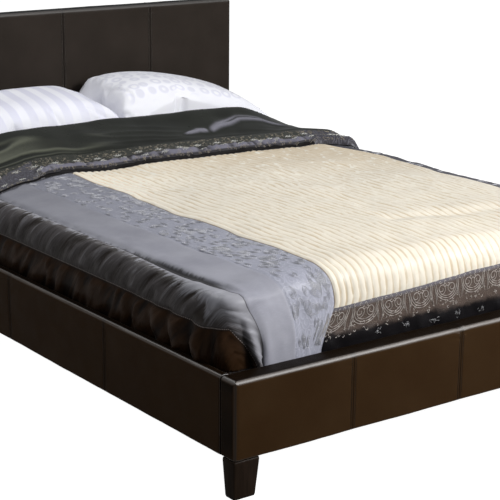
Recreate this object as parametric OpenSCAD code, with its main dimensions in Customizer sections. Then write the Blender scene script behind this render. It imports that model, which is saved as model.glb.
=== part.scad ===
// Upholstered double bed with a made-up mattress.
// The frame is a headboard, a low foot board and two side rails, each a timber core in foam and
// leathercloth. They bolt together with corner brackets and carry two rows of sprung slats.
// Origin: on the floor under the middle of the bed. +X is to the right seen from the foot end,
// +Y runs towards the headboard and +Z is up. Millimetres.

/* [Mattress] */
// Width of the mattress
mattress_w = 1350; // [1200:10:1500]
// Length of the mattress
mattress_l = 1900; // [1850:10:2000]
// Thickness of the mattress
mattress_t = 210; // [180:5:260]
// Radius of the mattress corners in plan
mattress_corner_r = 50; // [30:5:80]
// Radius of the mattress's top and bottom edges
mattress_edge_r = 20; // [12:1:30]
// How far the mattress sits below the top of the rails
mattress_sink = 50; // [40:1:60]
// Gap between the mattress and each side rail
side_gap = 15; // [14:1:20]
// Gap between the mattress and the foot board
foot_gap = 45; // [35:1:60]
// Gap between the mattress and the headboard
head_gap = 30; // [20:1:40]

/* [Frame] */
// Height of the feet
foot_h = 96; // [90:1:130]
// Height of the side rails and the foot board
rail_h = 200; // [190:1:240]
// Thickness of the side rails over the cover
rail_t = 30; // [28:1:36]
// Thickness of the foot board over the cover
footboard_t = 60; // [54:1:80]
// Thickness of the headboard over the cover
headboard_t = 65; // [60:1:90]
// Height of the top of the headboard above the floor
headboard_top = 915; // [850:5:1100]

/* [Upholstery] */
// Thickness of the leathercloth cover
cover_t = 2; // [1.6:0.1:2.6]
// Thickness of the foam on the rails and the foot board
rail_foam_t = 4; // [3:0.5:5]
// Thickness of the foam on the front of the headboard
headboard_foam_t = 12; // [10:1:20]
// Radius of the rails' top edges
rail_edge_r = 10; // [8:1:13]
// Radius of the foot board's and headboard's long edges
board_edge_r = 14; // [12:1:18]
// Radius of the headboard's two top corners, seen from the front
headboard_corner_r = 22; // [18:1:34]
// Sewn panels across the headboard and the foot board
panels_across = 4; // [3:1:6]
// Length of each sewn panel along a side rail, from the foot board
side_panel_l = 525; // [420:5:560]
// Width of the groove along a seam
seam_w = 3; // [2:0.5:5]
// Depth of the groove along a seam
seam_d = 1; // [0.6:0.1:1.2]

/* [Timber] */
// Thickness of the headboard's front panel
panel_t = 6; // [4:1:9]
// Width of the headboard's posts and cross rails
post_w = 70; // [55:1:90]
// Width of the strip of cover that returns onto the headboard's back
back_return = 35; // [25:1:50]
// Width of the ledges that carry the slats
ledge_w = 30; // [26:1:34]
// Height of the ledges
ledge_h = 30; // [25:1:34]
// Width of the centre beam
beam_w = 40; // [36:1:50]
// Height of the centre beam
beam_h = 60; // [50:1:70]
// Width of each centre leg
center_leg_w = 36; // [34:1:40]
// Distance of each centre leg from the middle of the bed
center_leg_y = 420; // [300:10:600]

/* [Slats] */
// Rows of slats
slat_rows = 14; // [10:1:14]
// Width of a slat
slat_w = 53; // [45:1:63]
// Thickness of a slat
slat_t = 8; // [7:0.5:10]
// Rise of a slat's bow at mid span
slat_bow = 12; // [8:1:16]
// Distance from the foot board and the headboard to the middle of the nearest slat
slat_end_offset = 75; // [70:1:100]
// Depth of a side cap's pocket
cap_pocket = 26; // [22:1:28]
// Wall of a slat cap
cap_wall = 3; // [2.5:0.5:4]

/* [Feet] */
// Width of a foot at the top, across the bed
foot_top_w = 75; // [65:1:90]
// Depth of a foot at the top, along the bed
foot_top_d = 50; // [44:1:54]
// How much a foot narrows towards the floor
foot_taper = 13; // [8:1:16]
// Diameter of the glides
glide_d = 24; // [20:1:28]
// Thickness of the glides
glide_t = 3; // [2.5:0.5:4]
// How far a glide stands out of its foot
glide_proud = 1; // [0.6:0.2:1.4]
// Diameter of a levelling foot's pad
leveller_d = 34; // [30:1:40]
// Thickness of a levelling foot's pad
leveller_t = 8; // [6:1:10]
// How far a levelling foot can be screwed in from its middle setting
leveller_up = 10; // [6:1:14]

/* [Fasteners] */
// Diameter of the bolts
bolt_d = 8; // [6:1:8]
// Height of a bolt's head
bolt_head_h = 4.5; // [3.5:0.5:6]
// Diameter of a bolt's head
bolt_head_d = 14; // [12:1:16]
// Length of the insert nuts
nut_l = 11; // [9:0.5:12]
// Diameter of the insert nuts
nut_d = 13; // [11.5:0.5:14]
// Diameter of the washers
washer_d = 18; // [16.5:0.5:19]
// Thickness of the washers
washer_t = 1.5; // [1:0.1:2]
// Thickness of the corner brackets
bracket_t = 3; // [2.5:0.5:4]
// Length of each bracket arm
bracket_arm = 50; // [48:1:60]
// Height of the corner brackets
bracket_h = 70; // [60:1:74]
// Distance between a bracket's two holes, one above the other
bracket_pitch = 34; // [30:1:40]

/* [Comforter] */
// Thickness of the comforter on top of the mattress
comforter_t = 26; // [18:1:34]
// Extra height of the comforter along the middle of the bed
comforter_crown = 16; // [8:1:24]
// Thickness of the comforter where it hangs at the sides and at the foot
comforter_wall = 10; // [8:1:11]
// Gap between the comforter and the sides of the mattress
comforter_gap = 1.5; // [1:0.5:2]
// How far the comforter's hem reaches below the top of the rails
hem_tuck = 8; // [4:1:20]
// Thickness of the turned-back part of the comforter
fold_t = 14; // [10:1:22]
// Gap between the comforter's folded edge and the upper pillows
fold_gap = 7; // [5:1:12]
// Depth of the turned-back part at the middle of the bed
fold_depth = 260; // [220:5:330]
// Slant of the turned-back hem, as its fall towards the foot for each unit across
fold_slant = 0.06; // [0:0.02:0.2]

/* [Pillows] */
// Width of a pillow
pillow_w = 640; // [560:5:650]
// Depth of a pillow
pillow_d = 465; // [440:5:480]
// Thickness of a lower pillow
lower_pillow_t = 120; // [100:1:130]
// Thickness of the upper left pillow
left_pillow_t = 124; // [100:1:140]
// Thickness of the upper right pillow
right_pillow_t = 155; // [110:1:170]
// How far the upper pillows lie behind the lower ones' front edge
pillow_setback = 72; // [66:1:90]

/* [Hidden] */
$fn = 48;
lay_gap = 0.2;       // between two layers of upholstery
rest_gap = 0.3;      // between a soft piece or slat and what it rests on
bore_gap = 0.1;      // round a bolt in its bore
rail_bottom_r = 4;
function inner_r(r, inset) = max(r - inset, 0.5);

inner_w = mattress_w + 2 * side_gap;
bed_w = inner_w + 2 * rail_t;
bed_l = mattress_l + foot_gap + head_gap + footboard_t + headboard_t;
foot_face = -bed_l / 2 + footboard_t;      // inner face of the foot board
head_face = bed_l / 2 - headboard_t;       // front face of the headboard
inner_l = head_face - foot_face;
rail_top = foot_h + rail_h;
slab_t = cover_t + rail_foam_t + 2 * lay_gap;   // cover and foam on a rail
headboard_slab_t = cover_t + headboard_foam_t + 2 * lay_gap;
headboard_h = headboard_top - foot_h;

mattress_z = rail_top - mattress_sink;
mattress_top = mattress_z + mattress_t;
mattress_y = (foot_face + foot_gap + head_face - head_gap) / 2;
mattress_foot = mattress_y - mattress_l / 2;

// The slats' crowns touch the mattress. Each slat is an arc between a side cap and a centre cap.
center_cap_web = 6;
cap_clear = 0.5;
slat_x0 = center_cap_web / 2 + cap_clear;
slat_x1 = inner_w / 2 - cap_wall - cap_clear;
slat_mid_x = (slat_x0 + slat_x1) / 2;
slat_half = (slat_x1 - slat_x0) / 2;
slat_crown = mattress_z - rest_gap;
slat_r = slat_half * slat_half / (2 * slat_bow) + slat_bow / 2;
function slat_drop(x) = slat_r - sqrt(slat_r * slat_r - (x - slat_mid_x) * (x - slat_mid_x));
slat_end_z = slat_crown - slat_t - slat_bow;
pocket_floor = slat_end_z - rest_gap;
pocket_roof = slat_crown - slat_drop(slat_x1 - cap_pocket) + rest_gap;
ledge_top = pocket_floor - cap_wall;
center_cap_w = beam_w + 14;
slat_pitch = (inner_l - 2 * slat_end_offset) / (slat_rows - 1);
function slat_y(row) = foot_face + slat_end_offset + (row - 1) * slat_pitch;

beam_z = ledge_top - beam_h;
leveller_gap = leveller_up + 2;
center_leg_z = leveller_t + leveller_gap;
stud_d = 10;
stud_l = 44;
insert_l = 18;
insert_d = 15;

foot_x = bed_w / 2 - foot_top_w / 2 + foot_taper / 4;
foot_y_inset = foot_top_d / 2 - foot_taper / 4;
foot_bolt_up = 46;
foot_bolt_down = 34;

bracket_z = foot_h + 12;
bolt_offset = bracket_arm - 20;
bolt_z = [bracket_z + (bracket_h - bracket_pitch) / 2, bracket_z + (bracket_h + bracket_pitch) / 2];
bolt_past_nut = 2;

leather = [0.13, 0.10, 0.085];
foam_color = [0.93, 0.88, 0.68];
timber = [0.80, 0.66, 0.46];
beech = [0.86, 0.70, 0.48];
steel = [0.62, 0.63, 0.65];
black_plastic = [0.08, 0.08, 0.09];
satin_grey = [0.52, 0.52, 0.58];
white_cotton = [0.93, 0.93, 0.96];

function node_number(n) = str(n < 10 ? "0" : "", n);
function slat_name(row) = str("slat_row_", node_number(row));

// ---------- shapes used more than once ----------

// A rectangle standing on y = 0, with its own radius at the bottom and at the top corners.
module round_rect(w, h, r_low, r_top) {
    translate([-w / 2, r_low]) square([w, h - r_low - r_top]);
    translate([-w / 2 + r_low, 0]) square([w - 2 * r_low, h / 2]);
    translate([-w / 2 + r_top, h / 2]) square([w - 2 * r_top, h / 2]);
    for (s = [-1, 1]) {
        translate([s * (w / 2 - r_low), r_low]) circle(r_low);
        translate([s * (w / 2 - r_top), h - r_top]) circle(r_top);
    }
}

// Extrudes an X-Z outline along Y, from y0 for a length l.
module along_y(y0, l) {
    translate([0, y0 + l, 0]) rotate([90, 0, 0]) linear_extrude(l) children();
}

// Extrudes a Y-Z outline along X, from x0 for a length l.
module along_x(x0, l) {
    translate([x0, 0, 0]) rotate([90, 0, 90]) linear_extrude(l) children();
}

// A block of w x t x h standing on z = 0, rounded in plan and along its top and bottom edges.
module soft_block(w, t, h, r_corner, r_top, r_low) {
    intersection() {
        along_y(-t / 2, t) round_rect(w, h, r_low, r_corner);
        along_x(-w / 2, w) round_rect(t, h, r_low, r_top);
        translate([0, -t / 2, 0]) linear_extrude(h) round_rect(w, t, r_top, r_top);
    }
}

module box(low, high) {
    translate(low) cube(high - low);
}

// Four bolt places at one corner of the frame: local +Z points into the rail or the board.
module at_rail_bolts(sx, sy) {
    for (z = bolt_z)
        translate([sx * inner_w / 2, sy > 0 ? head_face - bolt_offset : foot_face + bolt_offset, z])
            rotate([0, sx * 90, 0]) children();
}

module at_board_bolts(sx, sy) {
    for (z = bolt_z)
        translate([sx * (inner_w / 2 - bolt_offset), sy > 0 ? head_face : foot_face, z])
            rotate([-sy * 90, 0, 0]) children();
}

module at_all_bolts() {
    for (sx = [-1, 1], sy = [-1, 1]) {
        at_rail_bolts(sx, sy) children();
        at_board_bolts(sx, sy) children();
    }
}

// Room for a bolt through cover and foam, and for its insert nut in the timber behind.
module bolt_room(timber_depth) {
    cylinder(d = bolt_d + 4 * bore_gap, h = 2 * timber_depth, center = true);
    translate([0, 0, timber_depth]) {
        cylinder(d = nut_d + 2 * bore_gap, h = nut_l + bore_gap);
        cylinder(d = bolt_d + 2 * bore_gap, h = nut_l + bolt_past_nut + bore_gap);
    }
}

module at_feet(sy) {
    for (sx = [-1, 1]) at_foot(sx, sy) children();
}

module at_foot(sx, sy) {
    translate([sx * foot_x, sy * (bed_l / 2 - foot_y_inset), 0]) children();
}

module hanger_bore() {
    translate([0, 0, foot_h - foot_bolt_down - 1])
        cylinder(d = bolt_d + 2 * bore_gap, h = foot_bolt_down + foot_bolt_up + 2);
}

// ---------- headboard ----------

module headboard_place() {
    translate([0, bed_l / 2 - headboard_t / 2, foot_h]) children();
}

// The headboard's outline, inset on every side.
module headboard_layer(inset) {
    translate([0, 0, inset])
        soft_block(bed_w - 2 * inset, headboard_t - 2 * inset, headboard_h - 2 * inset,
                   inner_r(headboard_corner_r, inset), inner_r(board_edge_r, inset),
                   inner_r(rail_bottom_r, inset));
}

headboard_frame_w = bed_w - 2 * slab_t;
headboard_frame_h = headboard_h - slab_t - cover_t - lay_gap;
frame_front = -headboard_t / 2 + headboard_slab_t;
frame_back = headboard_t / 2 - cover_t - lay_gap;
post_front = frame_front + panel_t;
frame_low = cover_t + lay_gap;

// A timber of the headboard's frame, kept inside the cover and clear of the bolts.
module headboard_timber(low, high) {
    color(timber) difference() {
        headboard_place() intersection() {
            box(low, high);
            headboard_layer(cover_t + lay_gap);
        }
        headboard_bolt_room();
    }
}

module headboard_bolt_room() {
    for (sx = [-1, 1]) at_board_bolts(sx, 1) bolt_room(headboard_slab_t);
    at_feet(1) hanger_bore();
}

module footboard_bolt_room() {
    for (sx = [-1, 1]) at_board_bolts(sx, -1) bolt_room(slab_t);
    at_feet(-1) hanger_bore();
}

// The sewn seams: shallow grooves down the front and over the top at each joint of the panels.
module headboard_seams() {
    for (i = [1:panels_across - 1])
        translate([-bed_w / 2 + i * bed_w / panels_across, 0, 0])
            along_x(-seam_w / 2, seam_w)
                difference() {
                    translate([-headboard_t, -1]) square([2 * headboard_t, headboard_h + 2]);
                    translate([seam_d, seam_d])
                        round_rect(headboard_t, headboard_h - 2 * seam_d, rail_bottom_r, board_edge_r);
                }
}

module headboard_cover() {
    color(leather) difference() {
        headboard_place() difference() {
            headboard_layer(0);
            headboard_layer(cover_t);
            headboard_seams();
            box([-bed_w / 2 + back_return, frame_back, back_return],
                [bed_w / 2 - back_return, headboard_t, headboard_h - back_return]);
        }
        headboard_bolt_room();
    }
}

module headboard_foam() {
    half = headboard_frame_w / 2 + lay_gap;
    color(foam_color) difference() {
        headboard_place() difference() {
            headboard_layer(cover_t + lay_gap);
            box([-half, frame_front - lay_gap, 0],
                [half, headboard_t, frame_low + headboard_frame_h + lay_gap]);
        }
        headboard_bolt_room();
    }
}

module headboard_front_panel() {
    half = headboard_frame_w / 2;
    headboard_timber([-half, frame_front, frame_low], [half, post_front, frame_low + headboard_frame_h]);
}

module headboard_post(side) {
    x = side * (headboard_frame_w - post_w) / 2;
    headboard_timber([x - post_w / 2, post_front, frame_low],
                     [x + post_w / 2, frame_back, frame_low + headboard_frame_h]);
}

module headboard_cross_rail(z) {
    half = headboard_frame_w / 2 - post_w;
    headboard_timber([-half, post_front, z], [half, frame_back, z + post_w]);
}

module headboard_back_panel() {
    color(black_plastic) headboard_place()
        box([-bed_w / 2 + back_return + rest_gap, frame_back + lay_gap, back_return + rest_gap],
            [bed_w / 2 - back_return - rest_gap, headboard_t / 2, headboard_h - back_return - rest_gap]);
}

// ---------- foot board ----------

module footboard_place() {
    translate([0, -bed_l / 2 + footboard_t / 2, foot_h]) children();
}

module footboard_seams() {
    for (i = [1:panels_across - 1])
        translate([-bed_w / 2 + i * bed_w / panels_across, 0, 0])
            along_x(-seam_w / 2, seam_w)
                difference() {
                    translate([-footboard_t, -1]) square([footboard_t + footboard_t / 2, rail_h + 2]);
                    translate([0, -1])
                        round_rect(footboard_t - 2 * seam_d, rail_h + 1 - seam_d,
                                   rail_bottom_r, board_edge_r);
                }
}

module footboard_layer(inset) {
    r = inner_r(board_edge_r, inset);
    translate([0, 0, inset])
        soft_block(bed_w - 2 * inset, footboard_t - 2 * inset, rail_h - 2 * inset, r, r,
                   inner_r(rail_bottom_r, inset));
}

module footboard_cover() {
    color(leather) difference() {
        footboard_place() difference() {
            footboard_layer(0);
            footboard_layer(cover_t);
            footboard_seams();
        }
        footboard_bolt_room();
    }
}

module footboard_foam() {
    color(foam_color) difference() {
        footboard_place() difference() {
            footboard_layer(cover_t + lay_gap);
            footboard_layer(slab_t - lay_gap);
        }
        footboard_bolt_room();
    }
}

module footboard_core() {
    color(timber) difference() {
        footboard_place() footboard_layer(slab_t);
        footboard_bolt_room();
    }
}

// ---------- side rails ----------

module rail_outline(inset) {
    translate([0, inset])
        round_rect(rail_t - 2 * inset, rail_h - 2 * inset, inner_r(rail_bottom_r, inset),
                   inner_r(rail_edge_r, inset));
}

module rail_place(side) {
    translate([side * (bed_w - rail_t) / 2, 0, foot_h]) children();
}

module rail_bolt_room(side) {
    for (sy = [-1, 1]) at_rail_bolts(side, sy) bolt_room(slab_t);
}

module rail_seams() {
    for (i = [1:floor((inner_l - side_panel_l / 2) / side_panel_l)])
        along_y(foot_face + i * side_panel_l - seam_w / 2, seam_w)
            difference() {
                translate([-rail_t, -1]) square([2 * rail_t, rail_h + 2]);
                rail_outline(seam_d);
            }
}

module rail_cover(side) {
    color(leather) difference() {
        rail_place(side) difference() {
            along_y(foot_face, inner_l) difference() {
                rail_outline(0);
                rail_outline(cover_t);
            }
            rail_seams();
        }
        rail_bolt_room(side);
    }
}

module rail_foam(side) {
    color(foam_color) difference() {
        rail_place(side) along_y(foot_face, inner_l) difference() {
            rail_outline(cover_t + lay_gap);
            rail_outline(slab_t - lay_gap);
        }
        rail_bolt_room(side);
    }
}

module rail_board(side) {
    color(timber) difference() {
        rail_place(side) along_y(foot_face, inner_l) rail_outline(slab_t);
        rail_bolt_room(side);
    }
}

// The ledge is screwed along the rail's inner face, and the slat caps stand on it.
module rail_ledge(side) {
    edge = 2;
    color(timber) translate([side * (inner_w - ledge_w) / 2, 0, ledge_top - ledge_h])
        along_y(foot_face + rest_gap, inner_l - 2 * rest_gap) round_rect(ledge_w, ledge_h, edge, edge);
}

// ---------- slats ----------

module slat_row(row) {
    color(beech) for (side = [0, 1]) mirror([side, 0, 0])
        along_y(slat_y(row) - slat_w / 2, slat_w)
            intersection() {
                translate([slat_mid_x, slat_crown - slat_r]) difference() {
                    circle(slat_r, $fn = 1440);
                    circle(slat_r - slat_t, $fn = 1440);
                }
                translate([slat_x0, slat_end_z - slat_t])
                    square([slat_x1 - slat_x0, 2 * slat_t + slat_bow + slat_t]);
            }
}

module slat_pocket(x0, x1, row) {
    w = slat_w / 2 + cap_clear;
    box([x0, slat_y(row) - w, pocket_floor], [x1, slat_y(row) + w, pocket_roof]);
}

module slat_caps(side) {
    outer = inner_w / 2 - rest_gap;
    half = slat_w / 2 + cap_clear + cap_wall;
    color(black_plastic) for (row = [1:slat_rows]) mirror([side < 0 ? 1 : 0, 0, 0])
        difference() {
            box([slat_x1 - cap_pocket, slat_y(row) - half, ledge_top],
                [outer, slat_y(row) + half, pocket_roof + cap_wall]);
            slat_pocket(slat_x1 - cap_pocket - 1, slat_x1 + cap_clear, row);
        }
}

module center_slat_caps() {
    half = slat_w / 2 + cap_clear + cap_wall;
    color(black_plastic) for (row = [1:slat_rows]) difference() {
        box([-center_cap_w / 2, slat_y(row) - half, ledge_top],
            [center_cap_w / 2, slat_y(row) + half, pocket_roof + cap_wall]);
        for (side = [0, 1]) mirror([side, 0, 0]) slat_pocket(center_cap_web / 2, center_cap_w, row);
    }
}

// ---------- centre beam and its legs ----------

module at_center_legs() {
    for (s = [-1, 1]) translate([0, s * center_leg_y, 0]) children();
}

hanger_t = 3;
hanger_l = 40;

module center_beam() {
    color(timber) difference() {
        box([-beam_w / 2, foot_face + hanger_t + rest_gap, beam_z],
            [beam_w / 2, head_face - hanger_t - rest_gap, ledge_top]);
        at_center_legs() translate([0, 0, beam_z - 1])
            cylinder(d = bolt_d + 2 * bore_gap, h = foot_bolt_up - 8);
    }
}

// A steel stirrup on each board holds one end of the beam.
module beam_hangers() {
    half = beam_w / 2 + lay_gap;
    color(steel) for (s = [-1, 1]) {
        face = s > 0 ? head_face : foot_face;
        difference() {
            box([-half - hanger_t, min(face, face - s * hanger_l), beam_z - lay_gap - hanger_t],
                [half + hanger_t, max(face, face - s * hanger_l), ledge_top - 2]);
            box([-half, min(face - s * hanger_t, face - s * 2 * hanger_l), beam_z - lay_gap],
                [half, max(face - s * hanger_t, face - s * 2 * hanger_l), ledge_top]);
        }
    }
}

module center_leg(s) {
    edge = 4;
    color(timber) difference() {
        translate([0, s * center_leg_y - center_leg_w / 2, center_leg_z])
            linear_extrude(beam_z - center_leg_z) round_rect(center_leg_w, center_leg_w, edge, edge);
        translate([0, s * center_leg_y, center_leg_z - 1]) {
            cylinder(d = stud_d + 4 * bore_gap, h = stud_l + leveller_up + 4);
            cylinder(d = insert_d + 2 * bore_gap, h = insert_l + 1);
        }
        translate([0, s * center_leg_y, beam_z - foot_bolt_down])
            cylinder(d = bolt_d + 2 * bore_gap, h = foot_bolt_down + 1);
    }
}

// Threaded sleeves pressed into the bottom of the centre legs.
module leveller_inserts() {
    color(steel) at_center_legs() translate([0, 0, center_leg_z]) difference() {
        cylinder(d = insert_d, h = insert_l);
        translate([0, 0, -1]) cylinder(d = stud_d + 2 * bore_gap, h = insert_l + 2);
    }
}

// A moulded pad with a hexagonal collar to turn it by, on a steel stud.
module leveller(s) {
    collar_h = 4;
    color(black_plastic) translate([0, s * center_leg_y, 0]) {
        rotate_extrude()
            polygon([[0, 0], [leveller_d / 2 - 1, 0], [leveller_d / 2, 1.5],
                     [leveller_d / 2, leveller_t - collar_h],
                     [leveller_d / 2 - 5, leveller_t - 2.5], [0, leveller_t - 2.5]]);
        cylinder(d = leveller_d / 2, h = leveller_t, $fn = 6);
        cylinder(d = stud_d, h = leveller_t + stud_l);
    }
}

// ---------- feet ----------

// A block whose outer faces are upright and whose inner faces lean in towards the floor.
module foot(sx, sy) {
    color(leather) difference() {
        intersection() {
            along_y(sy > 0 ? bed_l / 2 - foot_top_d : -bed_l / 2, foot_top_d)
                polygon([for (p = [[0, foot_h], [foot_top_w, foot_h], [foot_top_w - foot_taper, glide_proud],
                                   [0, glide_proud]]) [sx * (bed_w / 2 - p[0]), p[1]]]);
            along_x(sx > 0 ? bed_w / 2 - foot_top_w : -bed_w / 2, foot_top_w)
                polygon([for (p = [[0, foot_h], [foot_top_d, foot_h], [foot_top_d - foot_taper, glide_proud],
                                   [0, glide_proud]]) [sy * (bed_l / 2 - p[0]), p[1]]]);
        }
        at_foot(sx, sy) {
            hanger_bore();
            cylinder(d = glide_d + 2 * bore_gap, h = glide_t);
        }
    }
}

module foot_glides() {
    color(black_plastic) for (sy = [-1, 1]) at_feet(sy) cylinder(d = glide_d, h = glide_t);
}

// Studs that hold the feet to the boards and the centre legs to the beam.
module hanger_bolts() {
    color(steel) {
        for (sy = [-1, 1]) at_feet(sy) translate([0, 0, foot_h - foot_bolt_down])
            cylinder(d = bolt_d, h = foot_bolt_down + foot_bolt_up);
        at_center_legs() translate([0, 0, beam_z - foot_bolt_down + 1])
            cylinder(d = bolt_d, h = foot_bolt_down + foot_bolt_up - 11);
    }
}

// ---------- corner joints ----------

module bracket_outline() {
    bend_r = bracket_t;
    difference() {
        union() {
            translate([bend_r, 0]) square([bracket_arm - bend_r, bracket_t]);
            translate([0, bend_r]) square([bracket_t, bracket_arm - bend_r]);
            intersection() {
                translate([bend_r, bend_r]) circle(bend_r);
                square(bend_r);
            }
            square([bracket_t + bend_r, bracket_t + bend_r]);
        }
        translate([bracket_t + bend_r, bracket_t + bend_r]) circle(bend_r);
    }
}

module corner_brackets() {
    color(steel) difference() {
        for (sx = [-1, 1], sy = [-1, 1])
            translate([sx * inner_w / 2, sy > 0 ? head_face : foot_face, bracket_z])
                mirror([sx > 0 ? 1 : 0, 0, 0]) mirror([0, sy > 0 ? 1 : 0, 0])
                    linear_extrude(bracket_h) bracket_outline();
        at_all_bolts() cylinder(d = bolt_d + 1, h = 3 * bracket_t, center = true);
    }
}

// A socket-headed bolt through bracket and washer, into timber that starts at timber_depth.
module bracket_bolt(timber_depth) {
    socket_d = 5.8;
    under_head = bracket_t + washer_t;
    head = -under_head - bolt_head_h;
    difference() {
        union() {
            translate([0, 0, -under_head])
                cylinder(d = bolt_d, h = under_head + timber_depth + nut_l + bolt_past_nut);
            translate([0, 0, head]) cylinder(d1 = bolt_head_d - 3, d2 = bolt_head_d, h = bolt_head_h);
        }
        translate([0, 0, head - 1]) cylinder(d = socket_d, h = bolt_head_h, $fn = 6);
    }
}

module bracket_bolts() {
    color(steel) for (sx = [-1, 1]) {
        for (sy = [-1, 1]) at_rail_bolts(sx, sy) bracket_bolt(slab_t);
        at_board_bolts(sx, -1) bracket_bolt(slab_t);
        at_board_bolts(sx, 1) bracket_bolt(headboard_slab_t);
    }
}

module bracket_washers() {
    color(steel) at_all_bolts() translate([0, 0, -bracket_t - washer_t]) difference() {
        cylinder(d = washer_d, h = washer_t);
        translate([0, 0, -1]) cylinder(d = bolt_d + 0.4, h = washer_t + 2);
    }
}

module insert_nut(depth) {
    translate([0, 0, depth]) difference() {
        cylinder(d = nut_d, h = nut_l);
        translate([0, 0, -1]) cylinder(d = bolt_d + 2 * bore_gap, h = nut_l + 2);
    }
}

module insert_nuts() {
    color(steel) for (sx = [-1, 1]) {
        for (sy = [-1, 1]) at_rail_bolts(sx, sy) insert_nut(slab_t);
        at_board_bolts(sx, -1) insert_nut(slab_t);
        at_board_bolts(sx, 1) insert_nut(headboard_slab_t);
    }
}

// ---------- mattress ----------

module mattress() {
    r = mattress_edge_r;
    color(white_cotton) translate([0, mattress_y, mattress_z]) intersection() {
        along_y(-mattress_l / 2, mattress_l) round_rect(mattress_w, mattress_t, r, r);
        along_x(-mattress_w / 2, mattress_w) round_rect(mattress_l, mattress_t, r, r);
        translate([0, -mattress_l / 2, 0]) linear_extrude(mattress_t)
            round_rect(mattress_w, mattress_l, mattress_corner_r, mattress_corner_r);
    }
}

// ---------- soft shapes ----------

function smooth(a, b, x) = let (t = min(1, max(0, (x - a) / (b - a)))) t * t * (3 - 2 * t);

// A closed skin between two grids of points, each a list of columns.
module skin(top, bottom) {
    nu = len(top);
    nv = len(top[0]);
    n = nu * nv;
    function id(i, j) = i * nv + j;
    function quad(a, b, c, d) = [[a, b, c], [a, c, d]];
    rim = concat([for (i = [0:nu - 2]) id(i, 0)], [for (j = [0:nv - 2]) id(nu - 1, j)],
                 [for (i = [nu - 1:-1:1]) id(i, nv - 1)], [for (j = [nv - 1:-1:1]) id(0, j)]);
    cells = [for (i = [0:nu - 2], j = [0:nv - 2]) [id(i, j), id(i, j + 1), id(i + 1, j + 1), id(i + 1, j)]];
    polyhedron(
        concat([for (column = top, p = column) p], [for (column = bottom, p = column) p]),
        concat([for (c = cells) each quad(c[0], c[1], c[2], c[3])],
               [for (c = cells) each quad(n + c[0], n + c[3], n + c[2], n + c[1])],
               [for (k = [0:len(rim) - 1]) let (a = rim[k], b = rim[(k + 1) % len(rim)])
                   each quad(a, b, n + b, n + a)]));
}

// ---------- pillows ----------

pillow_floor = mattress_top + rest_gap;
pillow_x = pillow_w / 2 + 1;
lower_front = head_face - 20 - pillow_d;
upper_front = lower_front + pillow_setback;
upper_d = head_face - 2 - upper_front;
lower_crown = 0.92 * lower_pillow_t;      // height of a lower pillow's top above the mattress
upper_share = 0.36;                       // of an upper pillow's thickness, below its seam
pillow_slope = 0.10;                      // an upper pillow leans back on the lower one
pillow_seam_t = 4;
pillow_across = 14;
pillow_along = 12;

// Half thickness of a plump pillow at u, v, each from -1 to 1 across and along it.
function plump(t, u, v) =
    pillow_seam_t / 2 + t / 2 * pow(1 - pow(abs(u), 3), 0.6) * pow(1 - pow(abs(v), 2.4), 0.6);

// The seam round a pillow droops towards its corners.
function droop(u, v) = pow(max(abs(u), abs(v)), 4);
function lower_mid(u, v) = pillow_floor + lower_pillow_t * (0.42 - 0.3 * droop(u, v));

function lower_top(x, y, cx) =
    let (u = (x - cx) / (pillow_w / 2), v = (y - lower_front) / pillow_d * 2 - 1)
    abs(u) > 1 || abs(v) > 1 ? pillow_floor : lower_mid(u, v) + plump(lower_pillow_t, u, v);

// Stations from -1 to 1 that crowd towards the ends.
function stations(n) = [for (i = [0:n]) sin(-90 + 180 * i / n)];

module lower_pillow(side) {
    function at(u, v, up) =
        [side * pillow_x + u * pillow_w / 2, lower_front + (v + 1) / 2 * pillow_d,
         max(pillow_floor, lower_mid(u, v) + up * plump(lower_pillow_t, u, v))];
    color(white_cotton)
        skin([for (u = stations(pillow_across)) [for (v = stations(pillow_along)) at(u, v, 1)]],
             [for (u = stations(pillow_across)) [for (v = stations(pillow_along)) at(u, v, -1)]]);
}

// An upper pillow's underside follows the lower pillow where it rests on it.
module upper_pillow(side, t) {
    cx = side * pillow_x;
    crown = pillow_floor + lower_crown + upper_share * t;
    function at(u, v, up) =
        let (x = cx + u * pillow_w / 2, y = upper_front + (v + 1) / 2 * upper_d,
             mid = crown + pillow_slope * v * upper_d / 2 - upper_share * t * droop(u, v),
             rest = lower_top(x, y, cx) + 2)
        [x, y, up > 0 ? max(mid + plump(t, u, v), rest + pillow_seam_t) : max(mid - plump(t, u, v), rest)];
    color(white_cotton)
        skin([for (u = stations(pillow_across)) [for (v = stations(pillow_along)) at(u, v, 1)]],
             [for (u = stations(pillow_across)) [for (v = stations(pillow_along)) at(u, v, -1)]]);
}

// ---------- comforter ----------

// It lies on the mattress and hangs down at both sides and at the foot. Its head end rises over
// the front of the lower pillows, and is turned back on top of itself as far as a slanting hem.
comforter_rest = 0.4;
comforter_r = mattress_edge_r + comforter_wall;
edge_x = mattress_w / 2 + comforter_gap - mattress_edge_r;          // where it starts to turn down
edge_y = mattress_foot - 3 + mattress_edge_r;
hem_z = rail_top - hem_tuck;
fold_edge = upper_front - fold_gap;
fold_step = 14;                            // depth of the rounded hem of the turned-back part
rise_start = lower_front - 95;
rise_end = fold_edge + 6;
rise_h = 0.8 * lower_pillow_t;
arc_steps = 4;
drop_steps = 2;
across = 14;
flat_rows = 9;
fold_rows = 8;
levels = arc_steps + drop_steps;

function fold_hem(x) = fold_edge - fold_depth - fold_slant * x;

// The rise over the pillows, and its fall towards the sides of the bed.
function rise(x, y) = rise_h * smooth(rise_start, rise_end, y)
    * (1 - 0.55 * smooth(edge_x - 115, edge_x + 25, abs(x)));
function mattress_side(x, y) = mattress_top + comforter_rest + rise(x, y);
function open_side(x, y) = mattress_side(x, y) + comforter_t
    + comforter_crown * (1 - pow(x / edge_x, 2)) * smooth(edge_y - 40, edge_y + 300, y);

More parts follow.
